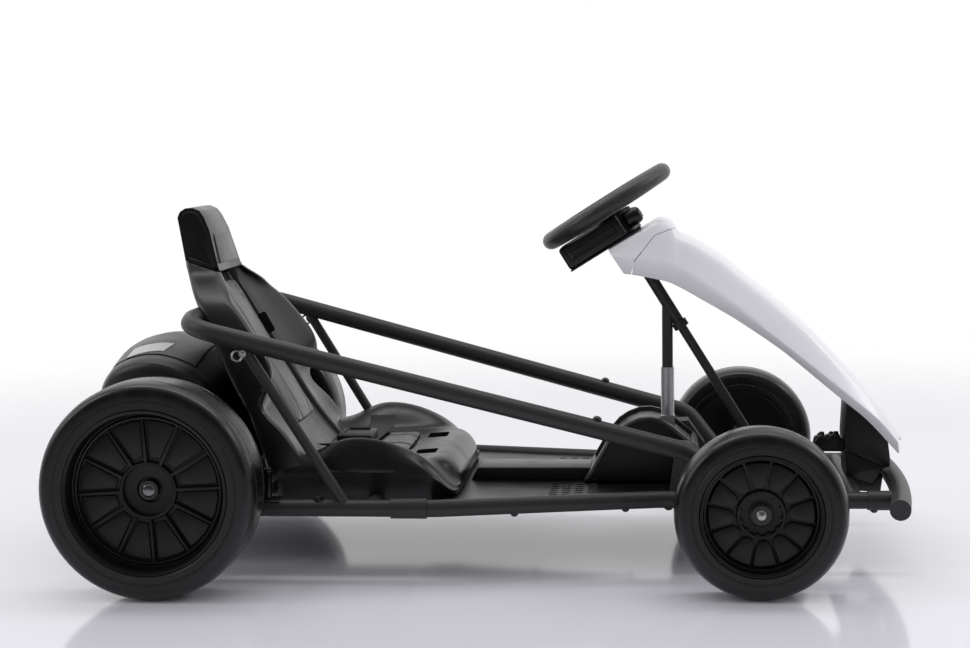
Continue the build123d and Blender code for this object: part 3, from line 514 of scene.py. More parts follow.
# Pale floor that fades into the white background away from the kart
bpy.ops.mesh.primitive_circle_add(vertices=96, radius=9.0, fill_type="NGON", location=(0, 0, -0.0005))
floor = bpy.context.object
floor.name = "floor"
bpy.ops.object.transform_apply(location=True)
floor_paint, floor_tree, floor_shader = new_material("gloss_white_studio_floor")
floor_shader.inputs["Base Color"].default_value = hex_colour("#e6e5ee")
floor_shader.inputs["Roughness"].default_value = 0.1
floor_shader.inputs["IOR"].default_value = 1.5
spot = add_node(floor_tree, "TexCoord").outputs["Object"]
reach = add_node(floor_tree, "VectorMath", {0: spot}, operation="LENGTH")
fade = add_node(floor_tree, "MapRange", {"Value": reach.outputs["Value"], "From Min": 1.1, "From Max": 2.4},
                interpolation_type="SMOOTHSTEP")
floor_ray = add_node(floor_tree, "LightPath")
faded = add_node(floor_tree, "Math", {0: fade.outputs["Result"], 1: floor_ray.outputs["Is Camera Ray"]},
                 operation="MULTIPLY")
clear = add_node(floor_tree, "BsdfTransparent")
floor_mix = add_node(floor_tree, "MixShader",
                     {0: faded.outputs[0], 1: floor_shader.outputs[0], 2: clear.outputs[0]})
floor_tree.links.new(floor_mix.outputs[0], floor_tree.nodes["Material Output"].inputs["Surface"])
floor.data.materials.append(floor_paint)

# Wheels

# columns: radius, height over the wheel's middle, out to the crown; the other side is its mirror
REAR_TYRE = [(98.2, 38.8), (99.5, 40), (107.6, 40), (108.2, 39.3), (109.6, 39.3), (110.2, 40), (118.5, 40),
             (121.5, 39.2), (124.6, 37), (127.2, 33.2), (128.8, 28), (129.6, 21.5), (129.8, 19.6),
             (129.2, 19.0), (129.2, 18.0), (129.8, 17.4), (130, 8)]
FRONT_TYRE = [(70.9, 28.8), (72.1, 30), (78.7, 30), (79.3, 29.4), (80.5, 29.4), (81.1, 30), (89, 30),
              (92.1, 29), (95.1, 26.6), (97.7, 22.6), (99.4, 17.4), (100.2, 12.4), (100.3, 11.6),
              (99.7, 11.0), (99.7, 10.2), (100.3, 9.6), (100.5, 4)]


def tyre_ring(rows, place):
    profile = rows + [(radius, -height) for radius, height in reversed(rows)]
    return turned(profile, place, steps=112)


# Rear disc: rolled outer lip, deep barrel, gap ring, raised ring, dished floor, hub ring and hub pocket
REAR_DISC = [(98, 34), (98, 39.3), (97.3, 39.9), (96.2, 39.9), (95.4, 39.3), (95.2, 38.2), (94.2, 38),
             (93.4, 36.4), (92.4, 24), (91.2, 20), (89.6, 19), (88.8, 19.4), (88.2, 21), (87, 21.5),
             (85.6, 21), (84.8, 19.4), (84.4, 15.2), (83.4, 14.4), (35.4, 14.4), (34.6, 15.2), (34.2, 20),
             (33.4, 20.8), (31.4, 20.8), (30.6, 20), (30, 12.6), (15.4, 11.6), (14.6, 6.2), (8.2, 6.2),
             (8.2, -33.6), (14, -33.6), (15, 4), (20, 8.2), (89, 8.2), (93.6, 3), (93.8, -36), (94.6, -39.4),
             (98, -40)]
FRONT_DISC = [(70.7, 26), (70.7, 30.4), (70.1, 31.1), (69.1, 31.1), (68.5, 30.4), (68.3, 29.2), (67.5, 28.8),
              (66.9, 27.6), (66.3, 19), (65.3, 16), (63.9, 15.4), (63.3, 14.2), (62.7, 11.2), (61.9, 10.6),
              (29.2, 10.6), (28.4, 11.4), (28, 15), (27.2, 15.6), (25.4, 15.6), (24.6, 15), (24, 9.4),
              (15, 9), (14.4, 8.2), (6.2, 8.2), (6.2, -23.6), (12, -23.6), (13, 2), (18, 5), (61.5, 5),
              (66.5, 1), (66.9, -26), (67.5, -29.4), (70.7, -30)]


def fan(inner, outer, margin, low, high, bevel, nose=0.0):
    """One panel between two spokes: its sides keep a margin from the spokes' middle lines."""
    reach = math.pi / SPOKES
    near = inner * math.sin(reach) - margin
    far = outer * math.sin(reach) - margin
    points = [(inner, -near), (outer * math.cos(reach * 0.9), -far), (outer, -far * 0.45),
              (outer, far * 0.45), (outer * math.cos(reach * 0.9), far), (inner, near)]
    if nose:
        points += [(inner - nose * 0.7, near * 0.6), (inner - nose, 0), (inner - nose * 0.7, -near * 0.6)]
    return thick([(x, y, low) for x, y in points], (0, 0, high - low), bevel, 3)


def rear_disc(place, first):
    """The rear wheel's disc with twelve thin raised ribs and a shallow panel between each two."""
    disc = turned(REAR_DISC, Matrix(), steps=112)
    panel = fan(39, 83, 3.6, 13.5, 16.2, 1.2)
    repeated(panel, SPOKES)
    placed(panel, Matrix.Rotation(math.radians(first + 180 / SPOKES), 4, "Z"))
    rib = thick([(33, -1.9, 13), (85.5, -1.3, 13), (85.5, 1.3, 13), (33, 1.9, 13)], (0, 0, 7.2), 0.7, 2)
    repeated(rib, SPOKES)
    placed(rib, Matrix.Rotation(math.radians(first), 4, "Z"))
    return placed(joined(disc, panel, rib), place)


def front_disc(place, first):
    """The front wheel's disc with twelve raised petals and a scalloped ring round the hub."""
    disc = turned(FRONT_DISC, Matrix(), steps=112)
    petal = fan(35, 61.2, 1.3, 9.6, 15.2, 1.5, nose=5.0)
    repeated(petal, SPOKES)
    placed(petal, Matrix.Rotation(math.radians(first + 180 / SPOKES), 4, "Z"))
    scallop = thick([(22.4, -2.0, 8), (25.2, -3.2, 8), (25.2, 3.2, 8), (22.4, 2.0, 8)], (0, 0, 6.4), 0.8, 2)
    repeated(scallop, SPOKES)
    placed(scallop, Matrix.Rotation(math.radians(first), 4, "Z"))
    return placed(joined(disc, petal, scallop), place)


# Where the hub cap and the axle nut sit, outwards from the kart's middle
HUB_CAP_Y, AXLE_NUT_Y = 295.4, 280.0
# Degrees from the wheel's forward way to its first spoke
REAR_FIRST, FRONT_FIRST = 3.0, 19.0
HUB_CAP = [(0.001, -3), (11.9, -3), (11.9, 4.6), (11.2, 5.8), (9.4, 6.2), (9, 8.2), (7.6, 10.4), (5, 11.9),
           (2.5, 12.3), (0.001, 12.3)]
ACORN_NUT = [(0.001, -3), (10.9, -3), (11.4, -2), (11.4, 0.4), (8.6, 1), (8.4, 5.4), (7.4, 8.6), (5, 10.8),
             (0.001, 11.6)]
for name, side in (("left", 1), ("right", -1)):
    rear = wheel_place(REAR_AXLE[0], REAR_WHEEL_Y, REAR_AXLE[1], side)
    front = wheel_place(FRONT_AXLE[0], FRONT_WHEEL_Y, FRONT_AXLE[1], side)
    cap_at = wheel_place(REAR_AXLE[0], HUB_CAP_Y, REAR_AXLE[1], side)
    nut_at = wheel_place(FRONT_AXLE[0], AXLE_NUT_Y, FRONT_AXLE[1], side)
    done(turned(HUB_CAP, cap_at, 48), "rear_axle_cap_" + name, "bright_steel", material=CHROME)
    done(turned(ACORN_NUT, nut_at, 48), "front_axle_nut_" + name, "bright_steel", body="knuckle_" + name)
    done(tyre_ring(REAR_TYRE, rear), "rear_tyre_" + name, "tyre", ["tyre_rear_" + name],
         body="wheel_rear_" + name)
    done(tyre_ring(FRONT_TYRE, front), "front_tyre_" + name, "tyre", ["tyre_front_" + name],
         body="wheel_front_" + name)
    done(rear_disc(rear, REAR_FIRST), "rear_disc_" + name, "rim", ["rim_rear_" + name], sharp=40,
         body="wheel_rear_" + name)
    done(front_disc(front, FRONT_FIRST), "front_disc_" + name, "rim", ["rim_front_" + name], sharp=40,
         body="wheel_front_" + name)

# Seat

SEAT_RECLINE = 0.577


def channel_x(z):
    """X of the seat's middle channel at a height: a straight reclined back, curved forward at its foot."""
    foot = max(0.0, 190.0 - z)
    return -349.2 + SEAT_RECLINE * (306.0 - z) + foot * foot * 0.0032


# columns: x, underside z, crease z, crest z, saddle z, crease half width, crest half width, saddle half width
SEAT_BASE = [
    (-296, 84, 122, 150, 142, 158, 147, 106), (-262, 84, 124, 146, 136, 163, 149, 106),
    (-234, 84, 126, 146, 133, 166, 151, 106), (-214, 84, 127, 156, 132, 168, 152, 106),
    (-194, 84, 127, 166, 132, 168, 152, 106), (-172, 84, 127, 169, 132, 168, 152, 107),
    (-142, 84, 127, 165, 133, 168, 151, 109), (-114, 84, 127, 155, 135, 167, 149, 112),
    (-90, 84, 126, 142, 137, 165, 147, 114), (-73, 85, 117, 125, 138, 161, 144, 112),
    (-61, 88, 105, 109, 134, 155, 139, 107), (-52, 94, 99, 102, 123, 147, 130, 100),
    (-47, 100, 102, 104, 112, 138, 118, 92),
]


def base_row(x, low, fold, crest, saddle, wide, top, inner):
    fall = saddle - crest
    return mirrored([(x, 0, low), (x, -(wide - 12), low), (x, -(wide - 4), fold - 7), (x, -wide, fold),
                     (x, -(wide - 4), fold + (crest - fold) * 0.5), (x, -(top + 5), crest - 5),
                     (x, -top, crest), (x, -(top - 14), crest + fall * 0.12),
                     (x, -(inner + 9), crest + fall * 0.78), (x, -inner, saddle),
                     (x, -inner * 0.5, saddle - 1), (x, 0, saddle - 1)])


# columns: z, rear x, side x, wing x, outer half width, channel half width
SEAT_BACK = [
    (96, -288, -282, -232, 152, 78), (125, -294, -286, -237, 160, 78), (150, -301, -292, -245, 163, 77),
    (178, -311, -301, -264, 162, 75), (196, -317, -307, -286, 160, 73), (211, -325, -315, -294, 159, 71),
    (238, -342, -330, -276, 158, 69), (262, -354, -341, -279, 157, 67), (280, -363, -348, -290, 154, 66),
    (300, -372, -358, -304, 149, 64), (325, -385, -372, -323, 136, 62), (336, -392, -379, -336, 126, 60),
    (348, -399, -387, -341, 110, 59), (358, -405, -394, -351, 92, 57), (369, -413, -402, -362, 68, 56),
    (395, -421, -410, -381, 60, 52),
]


def back_row(z, rear, side, wing, outer, inner):
    channel = channel_x(z)
    lip = max(channel + 9, wing - 6) if inner > outer - 18 else channel + 9
    return mirrored([(rear, 0, z), (rear + 1, -outer * 0.45, z), (rear + 5, -outer * 0.8, z),
                     (side, -outer, z), ((side + wing) / 2, -outer - 1, z), (wing - 4, -outer, z),
                     (wing, -(outer - 4), z), (wing - 1, -(outer - 13), z),
                     ((wing + lip) / 2 - 3, -((outer + inner) / 2), z), (lip, -(inner + 2), z),
                     (lip - 3, -(inner - 1), z), (channel, -(inner - 4), z), (channel, 0, z)])


seat_base = skin([base_row(*row) for row in SEAT_BASE], closed=True, caps=True)
crest_points = {(row[0], row[3]) for row in SEAT_BASE}
fold_points = {(row[0], row[2]) for row in SEAT_BASE}


def on_line(points, *ends):
    """Whether each end of an edge lies on one of the points, as seen from the side."""
    return all(any(abs(end.x - x) < 0.6 and abs(end.z - z) < 0.6 for x, z in points) for end in ends)


crease(seat_base, lambda a, b: on_line(crest_points, a, b) and abs(a.y) > 110, 0.62)
crease(seat_base, lambda a, b: on_line(fold_points, a, b) and abs(a.y) > 130, 0.7)
crease(seat_base, lambda a, b: a.z < 93 and b.z < 93, 0.8)
smooth(seat_base, 2)

seat_back = skin([back_row(*row) for row in SEAT_BACK], closed=True, caps=True)
wing_lines = {}
for row in SEAT_BACK:
    corners = back_row(*row)
    for column in (3, 5, 7, 9, 11):
        wing_lines.setdefault(column, set()).add((round(corners[column][0], 1), round(corners[column][2], 1)))
for column, value in ((3, 0.35), (5, 0.55), (7, 0.6), (9, 0.7), (11, 0.6)):
    crease(seat_back, lambda a, b, c=column: on_line(wing_lines[c], a, b) and abs(a.z - b.z) > 1, value)
smooth(seat_back, 2)
# The part line under the headrest
trimmed(seat_back, (-408, 0, 382.6), (0.297, 0, 0.955))
# The groove for the hoop's back bow
groove = wire([(-323, -213, 302.5), (-362, -216.5, 313), (-374, -180, 316.2), (-378, -150, 317.2),
               (-378, -60, 317.2), (-378, 60, 317.2), (-378, 150, 317.2), (-374, 180, 316.2),
               (-362, 216.5, 313), (-323, 213, 302.5)], 12.4, 6)
cut(seat_back, groove)
soften(seat_back, 1.2, 2, 40)

# Two moulded drain recesses in the cushion's front, and the belt slots in the back
drains = joined(brick(-111, -84, -82, -46, 126, 150, 4, 3), brick(-111, -84, 46, 82, 126, 150, 4, 3))
cut(seat_base, drains)
slot = placed(brick(-16, 16, -9, 9, -15, 15, 4),
              upright(-338, 68, 286) @ Matrix.Rotation(math.radians(-30), 4, "Y"))
slots = both_sides(slot)
cut(seat_back, slots)
seat = joined(seat_base, seat_back)
done(seat, "seat_shell_moulded", "seat_plastic", ["seat_shell"], sharp=35)

# Headrest: a block narrower at the top, with a sunk panel in each side
HEADREST_HALF = 63
headrest = side_plate([(-408, 383.3), (-420, 438.7), (-417, 446), (-410, 450.4), (-400, 451), (-391, 447),
                       (-385, 439), (-377, 421), (-363, 369.3)], -HEADREST_HALF, HEADREST_HALF)
for side in (1, -1):
    trimmed(headrest, (0, HEADREST_HALF * side, 372), (0, 0.98 * side, 0.196))
edit_faces(headrest, lambda c, n: abs(n.y) > 0.9)
inset((0.0045, 0.0), (0.0012, -0.0008))
soften(headrest, 3.0, 3, 24)
done(headrest, "headrest_block", "seat_plastic", ["headrest"], sharp=30)
# The headrest's face carries a bare raised panel
face_start, face_end = Vector((-366.2, 0, 380.5)), Vector((-375.6, 0, 417.0))
face_way = (face_end - face_start).normalized()
face_out = Vector((face_way.z, 0, -face_way.x))
face = thick([tuple(face_start + face_way * up + Vector((0, y, 0)) - face_out * 0.5)
              for up, y in ((-2, -48), (-2, 48), (34, 41), (38, 36), (38, -36), (34, -41))],
             tuple(face_out * 2.2), 0.9, 2)
# The panel takes the insert vinyl, whose lightened grey is partly painted sheen
done(face, "headrest_face_panel", "seat_plastic", sharp=35, material=GREY_VINYL_PAINTED_SHEEN)


# Points across a pad, how far its rounded edges reach in, and how much lower its sides are than its middle
PAD_STEPS, EDGE_REACH, SIDE_DROP = 30, 7.0, 0.5
# Depth and half width of a seam as sewn, and what is drawn down again after the filling
SEAM_DEPTH, SEAM_REACH = 2.6, 2.0
DRAW_DEPTH, DRAW_REACH = 1.5, 1.8
FILL_FRAMES = 20


def sewn_pad(length_points, half_top, half_low, seam, thickness):
    """A thin crowned pad along a line, its cover drawn down in a seam on each side.

    Rows run across it; the seam's place is a share of the half width.
    """
    rows = []
    for number, (x, z, nx, nz) in enumerate(length_points):
        share = number / (len(length_points) - 1)
        half = half_low + (half_top - half_low) * share
        ends = min(1.0, min(share, 1 - share) * 14)
        front, back = [], []
        for step in range(PAD_STEPS + 1):
            y = -half + 2 * half * step / PAD_STEPS
            edge = min(1.0, (half - abs(y)) / EDGE_REACH)
            lift = thickness * (0.35 + 0.65 * math.sqrt(max(edge, 0.0) * (0.3 + 0.7 * ends)))
            lift -= SEAM_DEPTH * math.exp(-((abs(y) - seam * half) / SEAM_REACH) ** 2)
            lift -= SIDE_DROP * (abs(y) / half) ** 2
            front.append((x + nx * lift, y, z + nz * lift))
            back.append((x, y, z))
        rows.append(front + list(reversed(back)))
    piece = skin(rows, closed=True, caps=True)
    return smooth(piece, 1)


def plumped(piece, out, cap, seam_y):
    """Fill a pad as cloth, its underside held and its moves capped, then draw its seams down."""
    change(piece, "REMESH", mode="VOXEL", voxel_size=0.0028)
    start = [vertex.co.copy() for vertex in piece.data.vertices]
    held = piece.vertex_groups.new(name="underside")
    held.add([vertex.index for vertex in piece.data.vertices if vertex.normal.dot(out) < 0.1], 1.0,
             "REPLACE")
    only(piece)
    cloth = piece.modifiers.new("filling", "CLOTH")
    cloth.settings.quality = 6
    cloth.settings.use_pressure = True
    cloth.settings.uniform_pressure_force = 4.0
    cloth.settings.effector_weights.gravity = 0.0
    cloth.settings.vertex_group_mass = "underside"
    cloth.point_cache.frame_start = 1
    cloth.point_cache.frame_end = FILL_FRAMES
    for number in range(1, FILL_FRAMES + 1):
        bpy.context.scene.frame_set(number)
    bpy.ops.object.modifier_apply(modifier=cloth.name)
    for vertex, place in zip(piece.data.vertices, start):
        move = vertex.co - place
        if move.length > cap / 1000:
            vertex.co = place + move.normalized() * cap / 1000
    bpy.context.scene.frame_set(1)
    piece.vertex_groups.clear()
    smooth(piece, 1)
    for vertex in piece.data.vertices:
        place = vertex.co * 1000
        if vertex.normal.dot(out) > 0.2:
            dip = math.exp(-((abs(place.y) - seam_y) / DRAW_REACH) ** 2)
            vertex.co -= out * dip * DRAW_DEPTH / 1000
    return piece


def stitch_rows(places, out, name):
    """Short raised stitches, each lying between the two places of its pair."""
    stitches = []
    for start, end in places:
        middle = (start + end) / 2 + out * 0.2
        stitch = brick(-0.9, 0.9, -0.6, 0.6, -2.4, 2.4, 0.5, 2)
        stitches.append(placed(stitch, along(middle, middle + (end - start).normalized())))
    done(joined(*stitches), name, "pad", sharp=40, material=THREAD)


lean = math.hypot(1, SEAT_RECLINE)
BACK_OUT = Vector((1 / lean, 0, SEAT_RECLINE / lean))
BACK_FOOT_Z, BACK_TOP_Z, BACK_ROWS = 167, 352, 30
# Half widths at the top and the foot, the seam's share of them, and the thickness
BACK_HALF, BACK_FOOT_HALF, BACK_SEAM, BACK_THICK = 50, 56, 0.56, 7.0
back_line_points = []
for number in range(BACK_ROWS + 1):
    z = BACK_FOOT_Z + (BACK_TOP_Z - BACK_FOOT_Z) * number / BACK_ROWS
    back_line_points.append((channel_x(z) + 0.4, z, 1 / lean, SEAT_RECLINE / lean))
back_pad = sewn_pad(back_line_points, BACK_HALF, BACK_FOOT_HALF, BACK_SEAM, BACK_THICK)
plumped(back_pad, BACK_OUT, 2.5, BACK_SEAM * BACK_HALF)

# Two rows of stitches beside each seam
STITCHES, STITCH_PITCH, STITCH_LENGTH, STITCH_FOOT_Z = 22, 7.6, 4.6, 178
STITCH_Y, STITCH_GAP, STITCH_LIFT = 28, 3.2, 7.2


def stitch_end(y, z):
    return Vector((channel_x(z), y, z)) + BACK_OUT * STITCH_LIFT


stitches = []
for side in (1, -1):
    for number in range(STITCHES):
        z = STITCH_FOOT_Z + number * STITCH_PITCH
        for gap in (-STITCH_GAP, STITCH_GAP):
            y = side * STITCH_Y + gap
            stitches.append((stitch_end(y, z), stitch_end(y, z + STITCH_LENGTH)))
stitch_rows(stitches, BACK_OUT, "back_pad_stitches")
done(back_pad, "back_pad_sewn", "pad", ["back_pad"], sharp=60)

CUSHION_REAR_X, CUSHION_LENGTH, CUSHION_ROWS, CUSHION_Z = -212, 92, 20, 132.2
CUSHION_SEAM = 0.45
cushion_points = []
for number in range(CUSHION_ROWS + 1):
    x = CUSHION_REAR_X + CUSHION_LENGTH * number / CUSHION_ROWS
    # The saddle rises a little towards its front
    cushion_points.append((x, CUSHION_Z + max(0.0, x + 170) * 0.045, 0, 1))
cushion = sewn_pad(cushion_points, 74, 78, CUSHION_SEAM, 6.5)
plumped(cushion, Vector((0, 0, 1)), 2.0, CUSHION_SEAM * 76.0)
done(cushion, "cushion_pad_sewn", "pad", ["cushion_pad"], sharp=60, material=SEAT)

# Lap belt across the cushion, one strap of webbing, and the buckle
BELT_WIDTH, BELT_THICK = 36, 1.8
# columns: y, z, rear x
BELT_LINE = [(-112, 152, -232), (-100, 147.5, -222), (-84, 144, -212), (-50, 143.5, -204), (0, 143.5, -200),
             (50, 143.5, -198), (84, 144.5, -196), (100, 148, -196), (112, 154, -198)]
belt_rows = []
for y, z, x in BELT_LINE:
    belt_rows.append([(x, y, z), (x + BELT_WIDTH, y, z), (x + BELT_WIDTH, y, z + BELT_THICK),
                      (x, y, z + BELT_THICK)])
belt = skin(belt_rows, closed=True, caps=True)
soften(belt, 0.5, 1, 50)
smooth(belt, 2)
done(belt, "lap_belt_webbing", "webbing", ["lap_belt"], sharp=40)
buckle = brick(-217, -171, -52, 6, 143.6, 154.6, 3, 3)
edit_faces(buckle, lambda c, n: n.z > 0.95)
inset((0.006, 0.0), (0.0015, -0.0015))
done(buckle, "belt_buckle_case", "webbing", ["belt_buckle"], sharp=35, material=CASE)

# White nose and pod

# Side lines of the nose in X and Z: the top's middle, the fold along the side and the low edge
NOSE_TOP = [(118, 381), (129, 388), (174, 418), (183, 423), (194.5, 430.4), (204, 431.5), (213.6, 430.4),
            (219, 426.5), (223.5, 418), (227, 412), (236, 409), (247.5, 404.5), (278.5, 385.5), (312.5, 357),
            (331, 343), (384, 298), (437, 242), (481.5, 190), (498, 164), (506, 151), (510.4, 142)]
NOSE_CREASE = [(118, 389), (141, 385), (176, 379), (211, 373), (234, 364), (263, 345), (292, 325), (319, 304),
               (384, 253), (441, 207), (473, 181), (490, 161), (500, 147), (507, 139), (510.4, 140)]
NOSE_LOW = [(118, 362), (152, 362), (173, 359), (192, 355), (212, 351), (231, 342), (248, 332), (273, 318),
            (297, 304), (353, 267), (434, 199.5), (461, 179), (479, 158), (490, 145.5), (500, 134.5),
            (507, 132.5), (510.4, 138)]
# columns: x, half width at the top edge, half width at the crease
NOSE_WIDE = [(118, 37, 50), (226, 37, 50), (270, 42, 57), (331, 50, 66), (384, 58, 76), (437, 66, 87),
             (481, 72, 94), (510.4, 74, 93)]
NOSE_STATIONS = [118, 132, 146, 160, 174, 183, 194.5, 204, 213.6, 219, 223.5, 227, 236, 247.5, 263, 278.5,
                 295, 312.5, 331, 358, 384, 410, 437, 460, 481.5, 492, 500, 506, 509.2, 510.4]
# From here on the sections bow back, over this length up to the tip, along an arc seen from above
TIP_START, TIP_LENGTH, TIP_RADIUS = 437, 73.4, 300.0
# The flat top falls by this much within the last share of the climb
EDGE_DROP, EDGE_SHARE = 7, 0.14


def at(table, x, column=1):
    """A table's value at x, along straight lines between its rows."""
    for before, after in zip(table, table[1:]):
        if before[0] <= x <= after[0]:
            share = (x - before[0]) / (after[0] - before[0])
            return before[column] + (after[column] - before[column]) * share
    return table[-1][column]


def nose_row(x):
    """A section of the nose; towards its tip the sections bow back to the sides as the front edge does."""
    wide = at(NOSE_WIDE, x, 2)
    top_half = min(at(NOSE_WIDE, x, 1), wide)
    share = min(max((x - TIP_START) / TIP_LENGTH, 0.0), 1.0)
    # columns: half width, share of the way from the low edge to the fold, share from the fold to the top
    places = [(wide - 8, 0.0, 0.0), (wide - 3, 0.5, 0.0), (wide, 1.0, 0.0),
              (top_half + (wide - top_half) * 0.62, 1.0, 0.38),
              (top_half + (wide - top_half) * 0.24, 1.0, 0.76), (top_half - 1, 1.0, 0.86),
              (top_half - 7, 1.0, 0.94), (top_half * 0.45, 1.0, 0.99), (0.0, 1.0, 1.0)]
    half = []
    for y, rise, climb in places:
        bowed = x - share * (TIP_RADIUS - math.sqrt(TIP_RADIUS ** 2 - y * y))
        top, fold, low = at(NOSE_TOP, bowed), at(NOSE_CREASE, bowed), at(NOSE_LOW, bowed)
        z = low + (fold - low) * rise + (top - fold) * climb
        if climb > 0.8:
            z = max(z, top - EDGE_DROP * (1 - climb) / EDGE_SHARE)
        half.append((bowed, -y, z))
    return mirrored(half)


def nose_shell():
    piece = skin([nose_row(x) for x in NOSE_STATIONS])
    fold = line_on_both_sides([nose_row(x)[2] for x in NOSE_STATIONS])
    crease(piece, lambda a, b: near_line(fold, 0.2, a, b), 0.45)
    smooth(piece, 2)
    return wall(faces_up(piece), PANEL_WALL)


PANEL_WALL = 3.0
# The line between pod and nose, in X and Z
SEAM = [(160, 340), (171, 379), (196, 410), (218, 418), (232, 421)]
# The pod ends at a plane across the column, this far down it, and at a slanting rear edge
POD_TOP_AT = 47.8
POD_REAR_AT, POD_REAR_WAY = (137, 0, 392), (-0.841, 0, -0.541)
pod = nose_shell()
edit_faces(pod)
bpy.ops.mesh.bisect(plane_co=mm(WHEEL_CENTRE + COLUMN_DOWN * POD_TOP_AT), plane_no=COLUMN_DOWN, use_fill=True,
                    clear_inner=True)
leave()
trimmed(pod, POD_REAR_AT, POD_REAR_WAY)
cut(pod, side_plate(SEAM + [(700, 421), (700, 0), (160, 0)], -200, 200))
soften(pod, 0.7, 2, 45)
done(pod, "white_pod", "body_white", ["column_pod"], sharp=32)
nose = nose_shell()
cut(nose, side_plate([(x + 0.8, z - 0.5) for x, z in SEAM] + [(700, 420.5), (700, 0), (160.8, 0)], -200, 200),
    "INTERSECT")
soften(nose, 0.7, 2, 45)
done(nose, "white_nose", "body_white", ["nose_panel"], sharp=32)

# Black body parts

# Cowl under the nose: an upper panel, and below its fold a narrower one that is drawn in
COWL_UPPER = [(438.6, 194), (436.2, 150), (437.4, 131.6), (443.6, 129), (485, 112), (494.6, 114),
              (494, 123.5), (491, 147), (470, 172)]
COWL_LOWER = [(437.4, 131.6), (438.4, 99.4), (452, 94), (471, 88.4), (486.5, 108), (494.6, 110.8),
              (494.8, 114), (485, 112), (443.6, 129)]
cowl = side_plate(COWL_UPPER, -32, 32, 1.6, 3, 30)
cowl_low = side_plate(COWL_LOWER, -29.5, 29.5, 1.4, 3, 30)
under = side_plate([(446, 80), (446, 104), (468, 96), (480, 107), (486, 104), (486, 80)], -26, 26)
cut(cowl_low, under)
flange = side_plate([(395.4, 127.2), (395.4, 130.8), (433, 130.8), (434, 144.8), (438, 144.8), (438, 127.2)],
                    -14, 14, 0.8)
skirt = side_plate([(439, 97), (439, 79), (483, 77), (486, 100), (470, 90), (452, 95)], -27, 27, 1.2)
cheek = side_plate([(399, 128), (401, 141), (409, 149), (416, 143), (423, 150), (437, 144), (438, 128)],
                   -13.6, -10.4, 0.6)
cowl = joined(cowl, cowl_low, flange, skirt, both_sides(cheek))
done(cowl, "black_front_cowl", "body_black", ["front_cowl"], sharp=30)

CONSOLE_SIDE = [(101, 92.4), (112, 108), (134, 147), (148, 163), (160, 171), (175, 177), (190, 178),
                (203, 175), (218, 166), (231, 155), (250, 140), (262, 92.4)]
console = side_plate(CONSOLE_SIDE, -55, 55)
soften(console, 7.0, 4, 50)
edit_faces(console, lambda c, n: n.z > 0.35 and abs(n.y) < 0.1 and 120 < c.x < 250 and c.z > 120)
inset((0.006, 0.0), (0.002, -0.005), (0.0012, 0.0))
done(console, "front_console_cover", "body_black", ["front_console"], sharp=32)

# columns: x, top z, lid half width, shoulder half width, side half width
COVER = [(-302, 152, 116, 124, 138), (-320, 176, 120, 128, 143), (-337, 200, 122, 130, 146),
         (-350, 228, 122, 130, 147), (-356, 246, 120, 128, 146), (-374, 263, 116, 124, 144),
         (-392, 273, 113, 121, 141), (-415, 281.5, 111, 119, 138), (-438, 286, 108, 116, 134),
         (-460, 283.5, 104, 112, 129), (-480, 278, 100, 108, 124), (-497, 269, 96, 104, 118),
         (-507, 257, 91, 99, 112), (-514, 245, 87, 95, 106), (-519.5, 227, 82, 90, 98)]


COVER_LOW = 99.0


def cover_row(x, top, lid, shoulder, side):
    low = COVER_LOW
    crown = min(20, (top - low) * 0.28)
    return [(x, -(side - 6), low), (x, -side, low + 30), (x, -(side - 1), top - crown * 1.6),
            (x, -(side - 5), top - crown * 1.3), (x, -(shoulder + 1), top - crown - 1),
            (x, -(lid + 3), top - crown), (x, -lid, top - crown + 1), (x, -lid * 0.5, top - crown * 0.26),
            (x, 0, top)]


cover = skin([mirrored(cover_row(*row)) for row in COVER])
for column, value in ((2, 0.8), (3, 0.7), (4, 0.75), (6, 0.6)):
    edge_line = line_on_both_sides([cover_row(*row)[column] for row in COVER])
    crease(cover, lambda a, b, line=edge_line: near_line(line, 0.3, a, b), value)
# Close the rear end with one face
edit_faces(cover)
bpy.ops.mesh.select_mode(type="EDGE")
bpy.ops.mesh.select_all(action="DESELECT")
leave()
for edge in cover.data.edges:
    ends = [cover.data.vertices[i].co * 1000 for i in edge.vertices]
    edge.select = all(abs(end.x - COVER[-1][0]) < 0.1 for end in ends)
bpy.ops.object.mode_set(mode="EDIT")
bpy.ops.mesh.edge_face_add()
leave()
smooth(cover, 1)
faces_up(cover)
edit_faces(cover, lambda c, n: n.z > 0.6 and -508 < c.x < -386 and abs(c.y) < at(sorted(COVER), c.x, 2) - 1)
inset((0.0008, 0.0), (0.0016, -0.0022), (0.0016, 0.003))
# A blank label lies on the lid's right half, a little askew; it starts under the lid and is drawn onto it
LABEL_REAR_X, LABEL_STEP = -484, 6.6
label_rows = []
for step in range(9):
    x = LABEL_REAR_X + LABEL_STEP * step
    under = at(sorted(COVER), x, 1) - 8
    label_rows.append([(x + 0.2 * (y + 98), y, under) for y in (-96, -88, -80, -72, -64)])
label = skin(label_rows)
change(label, "SHRINKWRAP", target=cover, wrap_method="NEAREST_SURFACEPOINT", wrap_mode="ABOVE_SURFACE",
       offset=0.0006)
wall(label, 0.5)
done(label, "cover_label_blank", "body_black", sharp=40, material=LABEL)
wall(cover, PANEL_WALL)
done(cover, "rear_cover_shell", "body_black", ["rear_cover"], sharp=30)

# Floor pan

PAN_TOP = 92.0
pan_plan = [(-80, -185), (-55, -185), (200, -126.3), (285, -126.3), (285, 126.3), (200, 126.3), (-55, 185),
            (-80, 185)]
pan = floor_plate(pan_plan, PAN_TOP - 4, PAN_TOP)
tunnel = side_plate([(-44, PAN_TOP - 1), (-35, PAN_TOP + 17), (112, PAN_TOP + 17), (124, PAN_TOP - 1)], -33,
                    33, 2.5, 3, 40)
